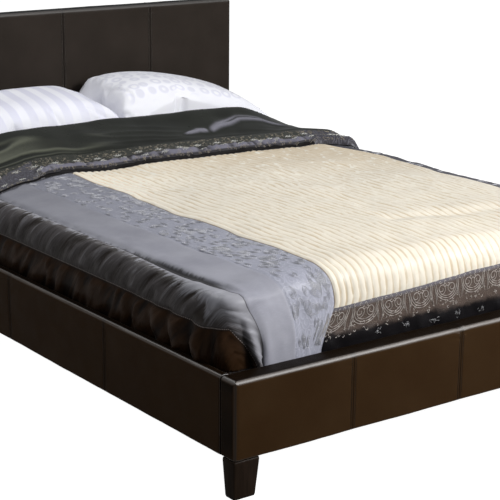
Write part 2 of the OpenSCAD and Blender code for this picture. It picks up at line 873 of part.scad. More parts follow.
// Row n on the top of the bed, counted from the foot: first up to the hem, then up to the fold.
function row_y(n, x) = n <= flat_rows
    ? edge_y + (fold_hem(x) - edge_y) * n / flat_rows
    : let (first = fold_hem(x) + fold_step, s = (n - flat_rows - 1) / (fold_rows - 1))
        first + (fold_edge - first) * s;
function turned_back(n) = n <= flat_rows ? 0 : n == flat_rows + fold_rows ? fold_t / 2 : fold_t;

// Point of column i and row j. At level k it has gone k steps round the edge and down the side.
function draped(i, j, r, outer) =
    let (ku = max(0, levels - i, i - levels - across), kv = max(0, levels - j), k = max(ku, kv),
         n = max(0, j - levels), side = i < levels ? -1 : 1,
         more = outer && k <= arc_steps + 1 ? turned_back(n) : 0, rr = r + more,
         turn = k == 0 ? 0 : ku >= kv ? 45 * kv / ku : 90 - 45 * ku / kv,
         out = rr * sin(90 * min(k, arc_steps) / arc_steps),
         x0 = edge_x * (min(max(i - levels, 0), across) / across * 2 - 1),
         y0 = row_y(n, x0 + (ku > 0 ? side * out : 0)),
         z0 = more + (outer ? open_side(x0, y0) : mattress_side(x0, y0)),
         down = k <= arc_steps ? rr * (1 - cos(90 * k / arc_steps))
             : rr + (z0 - rr - hem_z) * (k - arc_steps) / drop_steps)
    [x0 + (ku > 0 ? side * out * cos(turn) : 0), y0 - (kv > 0 ? out * sin(turn) : 0), z0 - down];

module comforter() {
    columns = [0:2 * levels + across];
    rows = [0:levels + flat_rows + fold_rows];
    color(satin_grey) skin(
        [for (i = columns) [for (j = rows) draped(i, j, comforter_r, true)]],
        [for (i = columns) [for (j = rows) draped(i, j, mattress_edge_r, false)]]);
}

// ---------- assembly ----------

headboard_cover();
headboard_foam();
headboard_front_panel();
headboard_post(-1);  // headboard_left_post
headboard_post(1);  // headboard_right_post
headboard_cross_rail(frame_low + headboard_frame_h - post_w);  // headboard_top_rail
headboard_cross_rail(frame_low);  // headboard_bottom_rail
headboard_back_panel();
footboard_cover();
footboard_foam();
footboard_core();
rail_cover(-1);  // left_rail_cover
rail_foam(-1);  // left_rail_foam
rail_board(-1);  // left_rail_board
rail_ledge(-1);  // left_rail_ledge
rail_cover(1);  // right_rail_cover
rail_foam(1);  // right_rail_foam
rail_board(1);  // right_rail_board
rail_ledge(1);  // right_rail_ledge
foot(-1, -1);  // front_left_foot
foot(1, -1);  // front_right_foot
foot(-1, 1);  // rear_left_foot
foot(1, 1);  // rear_right_foot
foot_glides();
hanger_bolts();
corner_brackets();
bracket_bolts();
bracket_washers();
insert_nuts();
center_beam();
beam_hangers();
center_leg(-1);  // front_center_leg
center_leg(1);  // rear_center_leg
leveller_inserts();
leveller(-1);  // front_leveller
leveller(1);  // rear_leveller
slat_caps(-1);  // left_slat_caps
slat_caps(1);  // right_slat_caps
center_slat_caps();
for (row = [1:slat_rows]) slat_row(row);
mattress();
comforter();
lower_pillow(-1);  // lower_left_pillow
lower_pillow(1);  // lower_right_pillow
upper_pillow(-1, left_pillow_t);  // upper_left_pillow
upper_pillow(1, right_pillow_t);  // upper_right_pillow
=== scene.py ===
"""An upholstered double bed, made up with a comforter and pillows, dressed round its CAD frame."""
import math

import bmesh
import bpy
import numpy as np
from mathutils import Matrix, Vector


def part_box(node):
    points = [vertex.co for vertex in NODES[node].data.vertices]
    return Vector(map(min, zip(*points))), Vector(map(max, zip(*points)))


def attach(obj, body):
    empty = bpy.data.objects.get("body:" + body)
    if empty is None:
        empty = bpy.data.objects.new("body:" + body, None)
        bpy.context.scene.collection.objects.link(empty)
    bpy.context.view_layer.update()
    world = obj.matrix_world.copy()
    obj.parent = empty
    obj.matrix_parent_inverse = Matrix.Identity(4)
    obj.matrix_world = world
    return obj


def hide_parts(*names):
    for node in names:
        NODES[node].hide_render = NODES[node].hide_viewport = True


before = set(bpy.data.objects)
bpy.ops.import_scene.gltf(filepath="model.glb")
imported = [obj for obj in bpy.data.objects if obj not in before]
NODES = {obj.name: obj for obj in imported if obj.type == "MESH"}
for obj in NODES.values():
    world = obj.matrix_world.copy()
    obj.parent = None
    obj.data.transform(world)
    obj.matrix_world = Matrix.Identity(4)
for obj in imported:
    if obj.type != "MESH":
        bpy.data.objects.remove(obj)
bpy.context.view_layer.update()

# ---------- camera ----------

CAMERA_PLACE = Vector((-2.6837, -3.7761, 1.5226))
CAMERA_YAW = math.radians(36.328)       # from +Y towards +X
CAMERA_PITCH = math.radians(15.151)     # downwards
CAMERA_ROLL = math.radians(0.4535)
LENS_MM, SENSOR_MM = 111.53, 36


def make_camera():
    """A long lens at the foot end's left corner."""
    data = bpy.data.cameras.new("camera")
    data.lens = LENS_MM
    data.sensor_width = SENSOR_MM
    camera = bpy.data.objects.new("camera", data)
    bpy.context.scene.collection.objects.link(camera)
    yaw, pitch, roll = CAMERA_YAW, CAMERA_PITCH, CAMERA_ROLL
    ahead = Vector((math.sin(yaw) * math.cos(pitch), math.cos(yaw) * math.cos(pitch), -math.sin(pitch)))
    right = Vector((math.cos(yaw), -math.sin(yaw), 0))
    up = right.cross(ahead)
    across = math.cos(roll) * right + math.sin(roll) * up
    upward = math.cos(roll) * up - math.sin(roll) * right
    turn = Matrix((across, upward, -ahead)).transposed()
    camera.matrix_world = Matrix.Translation(CAMERA_PLACE) @ turn.to_4x4()
    bpy.context.scene.camera = camera


# ---------- node materials ----------

TWIN_STITCH = 0.0058     # distance of each row of stitches from its seam
STITCH_PITCH = 0.005
STITCH_RADIUS = 0.0004
STITCH_SINK = 0.0006


class Shader:
    """A material whose nodes are added one call at a time."""

    def __init__(self, owner):
        """owner is a world, or the name of a new material."""
        self.owner = bpy.data.materials.new(owner) if isinstance(owner, str) else owner
        self.owner.use_nodes = True
        self.tree = self.owner.node_tree
        self.tree.nodes.clear()
        self.output = self.tree.nodes.new("ShaderNodeOutput"
                                          + ("Material" if isinstance(owner, str) else "World"))

    def add(self, kind, inputs=(), **settings):
        """Adds a node. inputs is a dict from a socket's name or index to a value or another socket."""
        made = self.tree.nodes.new("ShaderNode" + kind)
        for key, value in settings.items():
            setattr(made, key, value)
        for key, value in dict(inputs).items():
            socket = made.inputs[key]
            if isinstance(value, bpy.types.NodeSocket):
                self.tree.links.new(value, socket)
            else:
                socket.default_value = value
        return made

    def math(self, operation, a, b=0.0):
        return self.add("Math", {0: a, 1: b}, operation=operation).outputs[0]

    def times(self, a, b):
        return self.math("MULTIPLY", a, b)

    def plus(self, a, b):
        return self.math("ADD", a, b)

    def minus(self, a, b):
        return self.math("SUBTRACT", a, b)

    def size(self, a):
        return self.math("ABSOLUTE", a)

    def vector(self, x, y, z=0.0):
        return self.add("CombineXYZ", {0: x, 1: y, 2: z}).outputs[0]

    def scaled(self, vector, share):
        return self.add("VectorMath", {0: vector, "Scale": share}, operation="SCALE").outputs[0]

    def place(self, scale=(1, 1, 1)):
        """The point on the object, in metres, scaled."""
        return self.add("Mapping", {0: self.add("TexCoord").outputs["Object"], "Scale": scale}).outputs[0]

    def attribute(self, name):
        return self.add("Attribute", attribute_name=name)

    def noise(self, vector, scale, detail=3.0, roughness=0.55, distortion=0.0):
        return self.add("TexNoise", {"Vector": vector, "Scale": scale, "Detail": detail,
                                     "Roughness": roughness, "Distortion": distortion}).outputs[0]

    def voronoi(self, vector, scale, feature="F1", randomness=1.0):
        return self.add("TexVoronoi", {"Vector": vector, "Scale": scale, "Randomness": randomness},
                        feature=feature).outputs["Distance"]

    def band(self, value, low, high, to_low=0.0, to_high=1.0, smooth=True):
        """Maps value from low..high to to_low..to_high and holds it there outside."""
        kind = "SMOOTHSTEP" if smooth else "LINEAR"
        return self.add("MapRange", {0: value, 1: low, 2: high, 3: to_low, 4: to_high},
                        interpolation_type=kind).outputs[0]

    def mix(self, factor, a, b):
        """Mixes two colours, each a socket or a tuple of three."""
        made = self.add("Mix", data_type="RGBA")
        for socket, value in ((made.inputs[0], factor), (made.inputs[6], a), (made.inputs[7], b)):
            if isinstance(value, bpy.types.NodeSocket):
                self.tree.links.new(value, socket)
            elif isinstance(value, tuple):
                socket.default_value = (*value, 1.0)
            else:
                socket.default_value = value
        return made.outputs[2]

    def split(self, vector):
        return self.add("SeparateXYZ", {0: vector}).outputs

    def bump(self, height, strength, distance, normal=None):
        inputs = {"Height": height, "Strength": strength, "Distance": distance}
        if normal is not None:
            inputs["Normal"] = normal
        return self.add("Bump", inputs).outputs[0]

    def finish(self, color, roughness, normal=None, **constants):
        """Ends the material in one Principled shader. constants are set on its own sockets."""
        bsdf = self.add("BsdfPrincipled")
        for key, value in (("Base Color", color), ("Roughness", roughness), ("Normal", normal)):
            if value is None:
                continue
            if isinstance(value, bpy.types.NodeSocket):
                self.tree.links.new(value, bsdf.inputs[key])
            else:
                bsdf.inputs[key].default_value = (*value, 1.0) if isinstance(value, tuple) else value
        for key, value in constants.items():
            socket = bsdf.inputs[key.replace("_", " ").title().replace("Ior", "IOR")]
            if isinstance(value, bpy.types.NodeSocket):
                self.tree.links.new(value, socket)
            else:
                socket.default_value = value
        self.tree.links.new(bsdf.outputs[0], self.output.inputs[0])
        return self.owner


def leathercloth(name, base, worn, axis, seam, pitch):
    """Grained leathercloth: fine pebbles, soft creases, dark sewn seams and polished, rounded edges, with
    painted shade on its top faces.
    """
    s = Shader(name)
    at = s.place()
    tone = s.noise(at, 6, 4)
    grain = s.voronoi(at, 900, "SMOOTH_F1")
    pores = s.voronoi(at, 420, "DISTANCE_TO_EDGE")
    creases = s.noise(s.place((1, 1, 0.45)), 38, 5, 0.6, 1.2)
    color = s.mix(s.band(tone, 0.3, 0.75), base, worn)
    color = s.mix(s.band(pores, 0.0, 0.10, 0.35, 0.0), color, tuple(c * 0.45 for c in base))
    away = s.math("PINGPONG", s.minus(s.split(at)[axis], seam - 4 * pitch), pitch / 2)
    row = s.size(s.minus(away, TWIN_STITCH))
    sewn = s.math("MAXIMUM", s.band(away, 0.0008, 0.0026, 0.85, 0.0), s.band(row, 0.0006, 0.0024, 0.65, 0.0))
    color = s.mix(sewn, color, tuple(c * 0.15 for c in base))
    rough = s.band(s.noise(at, 22, 3), 0.25, 0.8, 0.34, 0.46)
    normal = s.bump(creases, 0.10, 0.0012)
    normal = s.bump(s.plus(s.times(grain, 0.6), s.band(pores, 0.0, 0.12)), 0.22, 0.00025, normal)
    facing = s.add("VectorMath", {0: s.add("TexCoord").outputs["Normal"]}, operation="ABSOLUTE").outputs[0]
    nx, ny, nz = s.split(facing)
    polish = s.band(s.math("MAXIMUM", nx, s.math("MAXIMUM", ny, nz)), 0.86, 0.996, 0.95, 0.02)
    polish = s.times(polish, s.band(nz, 0.10, 0.35, 0.25, 1.0))
    # Painted shade: faces that look upwards are darkened to a tenth of the base colour.
    color = s.mix(s.band(nz, 0.80, 0.98, 0.0, 0.92), color, tuple(c * 0.10 for c in base))
    return s.finish(color, rough, normal, specular_ior_level=0.03, coat_weight=polish, coat_roughness=0.52,
                    coat_ior=1.9)


def wood(name, light, dark, along=(14, 1.2, 14), gloss=0.5, specular=0.4):
    """Timber with its grain along the axis whose scale in `along` is smallest."""
    s = Shader(name)
    at = s.place(along)
    figure = s.noise(at, 9, 4, 0.6, 0.8)
    fibre = s.noise(s.place(tuple(v * 14 for v in along)), 9, 2, 0.5)
    tone = s.noise(s.place(), 3.5, 2)
    color = s.mix(s.band(figure, 0.3, 0.7), light, dark)
    color = s.mix(s.band(fibre, 0.45, 0.75, 0.0, 0.35), color, tuple(c * 0.6 for c in dark))
    color = s.mix(s.band(tone, 0.35, 0.7, 0.0, 0.25), color, tuple(c * 0.75 for c in light))
    normal = s.bump(fibre, 0.18, 0.0006)
    return s.finish(color, s.band(figure, 0.3, 0.8, gloss - 0.08, gloss + 0.08), normal,
                    specular_ior_level=specular)


def metal(name, color, rough, metallic=1.0):
    """Plated or painted steel, with faint rolling marks and spotting."""
    s = Shader(name)
    at = s.place()
    marks = s.noise(s.place((1, 1, 30)), 60, 3)
    spots = s.noise(at, 35, 4)
    tinted = s.mix(s.band(spots, 0.4, 0.75, 0.0, 0.5), color, tuple(c * 0.72 for c in color))
    return s.finish(tinted, s.band(marks, 0.3, 0.7, rough - 0.07, rough + 0.09),
                    s.bump(marks, 0.06, 0.0004), metallic=metallic)


def moulded(name, color, rough):
    """Moulded plastic with a fine spark-eroded grain."""
    s = Shader(name)
    at = s.place()
    grain = s.noise(at, 1400, 2)
    tint = s.mix(s.band(s.noise(at, 18, 3), 0.35, 0.7, 0.0, 0.4), color, tuple(c * 1.5 for c in color))
    return s.finish(tint, s.band(grain, 0.3, 0.7, rough - 0.05, rough + 0.08), s.bump(grain, 0.15, 0.0002),
                    specular_ior_level=0.4)


def foam(name, color):
    """Open-cell foam."""
    s = Shader(name)
    at = s.place()
    cells = s.voronoi(at, 700)
    tint = s.mix(s.band(s.noise(at, 12, 3), 0.3, 0.7, 0.0, 0.5), color, tuple(c * 0.86 for c in color))
    return s.finish(tint, 0.95, s.bump(cells, 0.5, 0.0008), specular_ior_level=0.1)


def woven(name, color, other):
    """Plain woven cloth seen from nearby."""
    s = Shader(name)
    at = s.place()
    x, y, z = s.split(at)
    pitch = 1500.0
    warp = s.math("SINE", s.times(s.plus(x, y), pitch))
    weft = s.math("SINE", s.times(s.plus(z, y), pitch))
    weave = s.times(warp, weft)
    color = s.mix(s.band(s.noise(at, 9, 4), 0.3, 0.7), color, other)
    return s.finish(color, 0.85, s.bump(weave, 0.3, 0.0002), specular_ior_level=0.15)


MATERIALS = {
    "leather": leathercloth("leathercloth", (0.038, 0.0185, 0.0066), (0.046, 0.0240, 0.0095), 0, 0.0, 0.36),
    "leather_rail": leathercloth("leathercloth_rails", (0.040, 0.0195, 0.0070), (0.048, 0.0250, 0.0100), 1,
                                 0.06, 0.525),
    # The headboard's copy of the leathercloth is greyer: its grey tone is painted reflection of the pale
    # bedding.
    "leather_head": leathercloth("leathercloth_headboard", (0.034, 0.027, 0.022), (0.043, 0.034, 0.028), 0,
                                 0.0, 0.36),
    "timber": wood("pine", (0.58, 0.41, 0.24), (0.42, 0.26, 0.13)),
    "board": wood("poplar_ply", (0.62, 0.47, 0.30), (0.48, 0.34, 0.20), (1.2, 14, 14)),
    "slat": wood("bent_beech", (0.66, 0.45, 0.26), (0.55, 0.35, 0.19), (1.2, 16, 16), 0.38),
    "foot": wood("stained_feet", (0.022, 0.013, 0.008), (0.012, 0.007, 0.004), (16, 16, 1.5), 0.42,
                 specular=0.06),
    "zinc": metal("zinc_plate", (0.62, 0.63, 0.66), 0.32),
    "black_steel": metal("black_enamel", (0.02, 0.02, 0.022), 0.38, 0.0),
    "plastic": moulded("black_nylon", (0.022, 0.022, 0.024), 0.45),
    "foam": foam("seat_foam", (0.83, 0.76, 0.52)),
    "back_cloth": woven("black_dust_cloth", (0.012, 0.012, 0.013), (0.02, 0.02, 0.022)),
}

NODE_MATERIALS = {
    "timber": ["headboard_left_post", "headboard_right_post", "left_rail_ledge", "right_rail_ledge",
               "center_beam", "front_center_leg", "rear_center_leg"],
    "board": ["headboard_front_panel", "headboard_top_rail", "headboard_bottom_rail", "footboard_core",
              "left_rail_board", "right_rail_board"],
    "slat": [name for name in NODES if name.startswith("slat_row_")],
    "zinc": ["hanger_bolts", "bracket_bolts", "bracket_washers", "insert_nuts", "leveller_inserts"],
    "black_steel": ["corner_brackets", "beam_hangers"],
    "plastic": ["foot_glides", "left_slat_caps", "right_slat_caps", "center_slat_caps", "front_leveller",
                "rear_leveller"],
    "foam": ["headboard_foam", "footboard_foam", "left_rail_foam", "right_rail_foam"],
    "back_cloth": ["headboard_back_panel"],
}


def dress_nodes():
    """Gives each CAD node that stays in view its finish."""
    for key, names in NODE_MATERIALS.items():
        for name in names:
            for place in NODES[name].material_slots:
                place.material = MATERIALS[key]


# ---------- meshes ----------

def make_piece(name, points, faces, materials, marks=None, kinds=None):
    """Makes an object from arrays. marks are named point attributes, kinds the faces' material numbers."""
    mesh = bpy.data.meshes.new(name)
    mesh.from_pydata([tuple(p) for p in points], [], [tuple(f) for f in faces])
    mesh.validate()
    for material in materials:
        mesh.materials.append(material)
    if kinds is not None:
        mesh.polygons.foreach_set("material_index", np.asarray(kinds, dtype=np.int32))
    for key, values in (marks or {}).items():
        layer = mesh.attributes.new(key, "FLOAT_VECTOR", "POINT")
        layer.data.foreach_set("vector", np.asarray(values, dtype=np.float32).ravel())
    mesh.polygons.foreach_set("use_smooth", np.full(len(mesh.polygons), True))
    mesh.update()
    made = bpy.data.objects.new(name, mesh)
    bpy.context.scene.collection.objects.link(made)
    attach(made, "frame")
    return made


def grid_faces(rows, columns, start=0, flip=False):
    """Quads of a grid of points kept row by row."""
    i, j = np.meshgrid(np.arange(rows - 1), np.arange(columns - 1), indexing="ij")
    a = start + i * columns + j
    quads = np.stack([a, a + 1, a + columns + 1, a + columns], axis=-1).reshape(-1, 4)
    return quads[:, ::-1] if flip else quads


def smooth_step(low, high, value):
    t = np.clip((value - low) / (high - low), 0, 1)
    return t * t * (3 - 2 * t)


def calm(grid, times):
    """A grid of points with each averaged with its neighbours, a number of times."""
    for _ in range(times):
        for axis in (0, 1):
            wide = np.concatenate([grid.take([0], axis), grid, grid.take([-1], axis)], axis)
            n = grid.shape[axis]
            low, high = wide.take(range(n), axis), wide.take(range(2, n + 2), axis)
            grid = 0.5 * grid + 0.25 * (low + high)
    return grid


def normals_of(grid):
    """Unit normals of a grid of points, along rows x columns."""
    down = np.gradient(grid, axis=0)
    over = np.gradient(grid, axis=1)
    normal = np.cross(over, down)
    return normal / np.maximum(np.linalg.norm(normal, axis=-1, keepdims=True), 1e-12)


class Noise:
    """Smooth seeded noise in one or two dimensions, from -1 to 1."""

    def __init__(self, seed):
        self.table = np.random.default_rng(seed).uniform(-1, 1, (64, 64))

    def __call__(self, x, y=0.0):
        x, y = np.broadcast_arrays(np.asarray(x, dtype=float), np.asarray(y, dtype=float))
        i, j = np.floor(x).astype(int), np.floor(y).astype(int)
        fx, fy = x - i, y - j
        fx, fy = fx * fx * (3 - 2 * fx), fy * fy * (3 - 2 * fy)
        t, n = self.table, len(self.table)
        low = t[i % n, j % n] * (1 - fx) + t[(i + 1) % n, j % n] * fx
        high = t[i % n, (j + 1) % n] * (1 - fx) + t[(i + 1) % n, (j + 1) % n] * fx
        return low * (1 - fy) + high * fy


def tubes(paths, normals, radius, sides=5, squash=1.0, taper=True):
    """Points and faces of thin tubes along many paths of equal length: paths is (count, steps, 3)."""
    count, steps, _ = paths.shape
    along = np.gradient(paths, axis=1)
    along /= np.maximum(np.linalg.norm(along, axis=-1, keepdims=True), 1e-12)
    beside = np.cross(along, normals)
    beside /= np.maximum(np.linalg.norm(beside, axis=-1, keepdims=True), 1e-12)
    turn = np.arange(sides) / sides * 2 * np.pi
    width = np.full(steps, radius)
    if taper:
        ends = np.minimum(np.arange(steps), np.arange(steps)[::-1]) / max(steps - 1, 1)
        width = radius * np.sqrt(np.clip(ends * 6, 0.02, 1))
    ring = (np.cos(turn)[None, None, :, None] * beside[:, :, None, :]
            + squash * np.sin(turn)[None, None, :, None] * normals[:, :, None, :])
    points = paths[:, :, None, :] + ring * width[None, :, None, None]
    c, k, s = np.meshgrid(np.arange(count), np.arange(steps - 1), np.arange(sides), indexing="ij")
    a = (c * steps + k) * sides + s
    b = (c * steps + k) * sides + (s + 1) % sides
    walls = np.stack([a, b, b + sides, a + sides], axis=-1).reshape(-1, 4)
    first = np.arange(count)[:, None] * steps * sides + np.arange(sides)[None, ::-1]
    last = first[:, ::-1] + (steps - 1) * sides
    return points.reshape(-1, 3), [*map(tuple, walls), *map(tuple, first), *map(tuple, last)]


# ---------- upholstery ----------

SEAM_FINE = 0.0016       # spacing of points across a seam
SEAM_REACH = 0.026       # half width of the finely meshed strip along a seam
END_FINE = 0.003         # spacing of points near a cover's ends
PANEL_STEP = 0.012       # spacing of points across a panel
SINK = -0.0017           # the deepest a seam sinks, clear of the foam


def stations(low, high, coarse, seams, ends):
    """Coordinates from low to high: fine near seams and ends, coarse between."""
    marks = [np.arange(low, high + coarse / 2, coarse), [low, high]]
    for seam in seams:
        marks.append(np.arange(seam - SEAM_REACH, seam + SEAM_REACH, SEAM_FINE))
    marks += [np.arange(low, low + ends, END_FINE), np.arange(high - ends, high, END_FINE)]
    values = np.unique(np.round(np.clip(np.concatenate(marks), low, high), 5))
    keep = np.concatenate([[True], np.diff(values) > 0.0007])
    keep[-1] = True
    return values[keep]


def box_skin(axes):
    """Points of a box's six faces on the given stations, with their quads."""
    points, faces, start = [], [], 0
    for normal_axis in range(3):
        u, v = [a for a in range(3) if a != normal_axis]
        for end in (0, -1):
            grid_u, grid_v = np.meshgrid(axes[u], axes[v], indexing="ij")
            face = np.empty(grid_u.shape + (3,))
            face[..., u], face[..., v] = grid_u, grid_v
            face[..., normal_axis] = axes[normal_axis][end]
            flip = (normal_axis == 1) == (end == -1)
            faces.append(grid_faces(*grid_u.shape, start, not flip))
            points.append(face.reshape(-1, 3))
            start += grid_u.size
    return np.concatenate(points), np.concatenate(faces)


def round_box(points, low, high, radius_low, radius_high):
    """Moves points of a box's skin onto the box with rounded edges. Returns places and normals."""
    inner_low, inner_high = low + radius_low, high - radius_high
    inner = np.clip(points, inner_low, inner_high)
    over = points - inner
    radius = np.where(over > 0, radius_high, radius_low)
    unit = over / radius
    pairs = np.stack([np.hypot(unit[..., i], unit[..., j]) for i, j in ((0, 1), (0, 2), (1, 2))])
    top = np.maximum(pairs.max(axis=0), 1e-12)
    unit /= (top * ((pairs / top) ** 60).sum(axis=0) ** (1 / 60))[..., None]
    unit *= np.where((np.abs(over) > 0).sum(axis=-1) == 1, 2 ** (1 / 60), 1.0)[..., None]
    normal = unit / radius
    return inner + unit * radius, normal / np.maximum(np.linalg.norm(normal, axis=-1, keepdims=True), 1e-12)


def round_bar(points, low, high, radius_low, radius_high):
    """Rounds the long edges of a bar along Y and leaves its ends flat. Returns places and normals."""
    lower, upper = radius_low * (1, 0, 1), radius_high * (1, 0, 1)
    inner = np.clip(points, low + lower, high - upper)
    over = points - inner
    unit = over / np.where(over > 0, radius_high, radius_low)
    reach = np.abs(unit).max(axis=-1)
    unit *= (reach / np.maximum(np.hypot(unit[..., 0], unit[..., 2]), 1e-12))[..., None]
    radius = np.where(over > 0, radius_high, radius_low)
    normal = np.where(reach[..., None] > 1 - 1e-9, unit / radius, 0)
    return inner + unit * radius, normal / np.maximum(np.linalg.norm(normal, axis=-1, keepdims=True), 1e-12)


def round_corners(place, high, radius):
    """Rounds the two top corners seen from the front."""
    over_x = np.abs(place[:, 0]) - (high[0] - radius)
    over_z = place[:, 2] - (high[2] - radius)
    reach = np.hypot(over_x, over_z)
    pull = np.where((over_x > 0) & (over_z > 0), np.minimum(1.0, radius / np.maximum(reach, 1e-9)), 1.0)
    place = place.copy()
    place[:, 0] -= np.sign(place[:, 0]) * over_x * (1 - pull)
    place[:, 2] -= over_z * (1 - pull)
    return place


def seam_relief(s, along, noise, lively):
    """Height beside a seam at distance s: a sunk seam, two rows of stitch dimples, and puckers."""
    sunk = -0.0018 * np.exp(-(s / 0.0012) ** 2)
    dimples = -0.0013 * (np.exp(-((s - TWIN_STITCH) / 0.0017) ** 2)
                         + np.exp(-((s + TWIN_STITCH) / 0.0017) ** 2))
    welt = 0.0008 * np.exp(-(s / 0.0045) ** 2)
    side = np.where(s > 0, 1, 3)
    pucker = noise(along / 0.0062 + 7 * side, side) * np.exp(-np.abs(np.abs(s) - 0.009) / 0.007)
    return sunk + dimples + welt + 0.0008 * lively * pucker


def upholstered(name, node, seam_axis, seams, radii, material, puff, seed):
    """A cover over foam: a rounded box with sunk seams, puckers and a slight swell in each panel."""
    low, high = (np.array(v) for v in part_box(node))
    radius_low, radius_high = (np.array(r) for r in radii)
    axes = []
    for axis in range(3):
        if axis == seam_axis:
            axes.append(stations(low[axis], high[axis], PANEL_STEP, seams, 0.03))
        elif high[axis] - low[axis] < 0.09:
            axes.append(np.linspace(low[axis], high[axis], 25))
        else:
            axes.append(stations(low[axis], high[axis], 0.0075, (), 0.036))
    points, faces = box_skin(axes)
    rounded = round_box if seam_axis == 0 else round_bar
    place, normal = rounded(points, low, high, radius_low, radius_high)
    noise = Noise(seed)
    s = points[:, seam_axis]
    across = points[:, 2] + 0.7 * np.abs(points[:, 1 - seam_axis] - low[1 - seam_axis])
    top = smooth_step(high[2] - 0.05, high[2] - 0.004, place[:, 2])
    edges = np.concatenate([[low[seam_axis]], seams, [high[seam_axis]]])
    panel = np.clip(np.searchsorted(edges, s) - 1, 0, len(edges) - 2)
    share = (s - edges[panel]) / (edges[panel + 1] - edges[panel])
    swell = puff * np.clip(np.sin(np.pi * np.clip(share, 0, 1)), 0, 1) ** 0.35
    slack = (0.0007 * noise(s / 0.11 + 9, points[:, 2] / 0.08)
             + 0.0004 * noise(s / 0.035, points[:, 2] / 0.05 + 5))
    height = swell + slack - puff
    for seam in seams:
        height += seam_relief(s - seam, across, noise, 1 + 1.4 * top)
    edge = 1 - smooth_step(0.90, 0.985, np.abs(normal).max(axis=1))
    height = np.maximum(height, SINK + 0.0013 * np.maximum(top, edge))
    place = place + normal * height[:, None]
    if seam_axis == 1:
        place[:, 1] += np.where(points[:, 1] == low[1], -0.0006, np.where(points[:, 1] == high[1], 0.0006, 0))
    if node == "headboard_cover":
        place = round_corners(place, high, HEAD_CORNER)
    made = make_piece(name, place, faces, [material])
    weld(made)
    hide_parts(node)
    return made


def weld(made):
    """Joins the points of a mesh that lie together."""
    mesh = bmesh.new()
    mesh.from_mesh(made.data)
    bmesh.ops.remove_doubles(mesh, verts=mesh.verts, dist=2e-6)
    bmesh.ops.recalc_face_normals(mesh, faces=mesh.faces)
    mesh.to_mesh(made.data)
    mesh.free()


def stitch_rows(name, paths, normals, material, radius=STITCH_RADIUS):
    """Short sunken stitches along each path of points."""
    pieces, piece_normals = [], []
    for path, normal in zip(paths, normals):
        step = np.linalg.norm(np.diff(path, axis=0), axis=1)
        length = np.concatenate([[0], np.cumsum(step)])
        starts = np.arange(0.006, length[-1] - 0.006, STITCH_PITCH)
        at = starts[:, None] + np.linspace(0, 0.74, 4)[None, :] * STITCH_PITCH
        pieces.append(np.stack([np.interp(at, length, path[:, a]) for a in range(3)], axis=-1))
        piece_normals.append(np.stack([np.interp(at, length, normal[:, a]) for a in range(3)], axis=-1))
    points, faces = tubes(np.concatenate(pieces), np.concatenate(piece_normals), radius, 5, 0.8)
    make_piece(name, points, faces, [material])


def seam_paths(node, seam_axis, seams, radii, front):
    """Paths of the twin rows of stitches: up the cover's low (front 0) or high (front 1) face, and over."""
    low, high = (np.array(v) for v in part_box(node))
    other = 1 - seam_axis
    face = low[other] if front == 0 else high[other]
    far = high[other] if front == 0 else low[other]
    rise = np.linspace(low[2], high[2], 120)
    over = np.linspace(face, far, 60)[1:]
    paths, normals = [], []
    for seam in seams:
        for side in (-1, 1):
            points = np.empty((len(rise) + len(over), 3))
            points[:, seam_axis] = seam + side * TWIN_STITCH
            points[:len(rise), other], points[:len(rise), 2] = face, rise
            points[len(rise):, other], points[len(rise):, 2] = over, high[2]
            place, normal = round_box(points, low, high, np.array(radii[0]), np.array(radii[1]))
            paths.append(place - normal * STITCH_SINK)
            normals.append(normal)
    return paths, normals


BOARD_SEAMS = [-0.36, 0.0, 0.36]
RAIL_SEAMS = [-0.465, 0.06, 0.585]
LONG_EDGE, BOARD_EDGE, HEAD_CORNER, UNDER_EDGE = 0.0165, 0.0138, 0.022, 0.003
RAIL_EDGE, RAIL_SIDE, REAR_EDGE = 0.0125, 0.0105, 0.005


def make_upholstery():
    """The leathercloth covers of the headboard, the foot board and the side rails, with their stitches."""
    head = ((BOARD_EDGE, BOARD_EDGE, UNDER_EDGE), (BOARD_EDGE, BOARD_EDGE, LONG_EDGE))
    foot = ((BOARD_EDGE, BOARD_EDGE, UNDER_EDGE), (BOARD_EDGE, REAR_EDGE, LONG_EDGE))
    rail = ((RAIL_SIDE, RAIL_SIDE, UNDER_EDGE), (RAIL_SIDE, RAIL_SIDE, RAIL_EDGE))
    sink_back(upholstered("headboard_leathercloth", "headboard_cover", 0, BOARD_SEAMS, head,
                          MATERIALS["leather_head"], 0.0016, 3))
    upholstered("footboard_leathercloth", "footboard_cover", 0, BOARD_SEAMS, foot, MATERIALS["leather"],
                0.0013, 4)
    stitch_rows("headboard_stitching", *seam_paths("headboard_cover", 0, BOARD_SEAMS, head, 0),
                MATERIALS["pale_thread"], 0.00055)
    stitch_rows("footboard_stitching", *seam_paths("footboard_cover", 0, BOARD_SEAMS, foot, 0),
                MATERIALS["thread"])
    for front, side in enumerate(("left", "right")):
        node = side + "_rail_cover"
        upholstered(side + "_rail_leathercloth", node, 1, RAIL_SEAMS, rail, MATERIALS["leather_rail"], 0.0013,
                    5 + front)
        stitch_rows(side + "_rail_stitching", *seam_paths(node, 1, RAIL_SEAMS, rail, front),
                    MATERIALS["thread"])


def sink_back(cover):
    """Sinks the middle of the headboard's back, where the dust cloth is stapled in."""
    low, high = (np.array(v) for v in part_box("headboard_back_panel"))
    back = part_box("headboard_cover")[1][1]
    for vertex in cover.data.vertices:
        x, y, z = vertex.co
        if y > back - 0.006 and low[0] < x < high[0] and low[2] < z < high[2]:
            vertex.co.y = low[1] - 0.0006


# ---------- bedding: the comforter's surface ----------

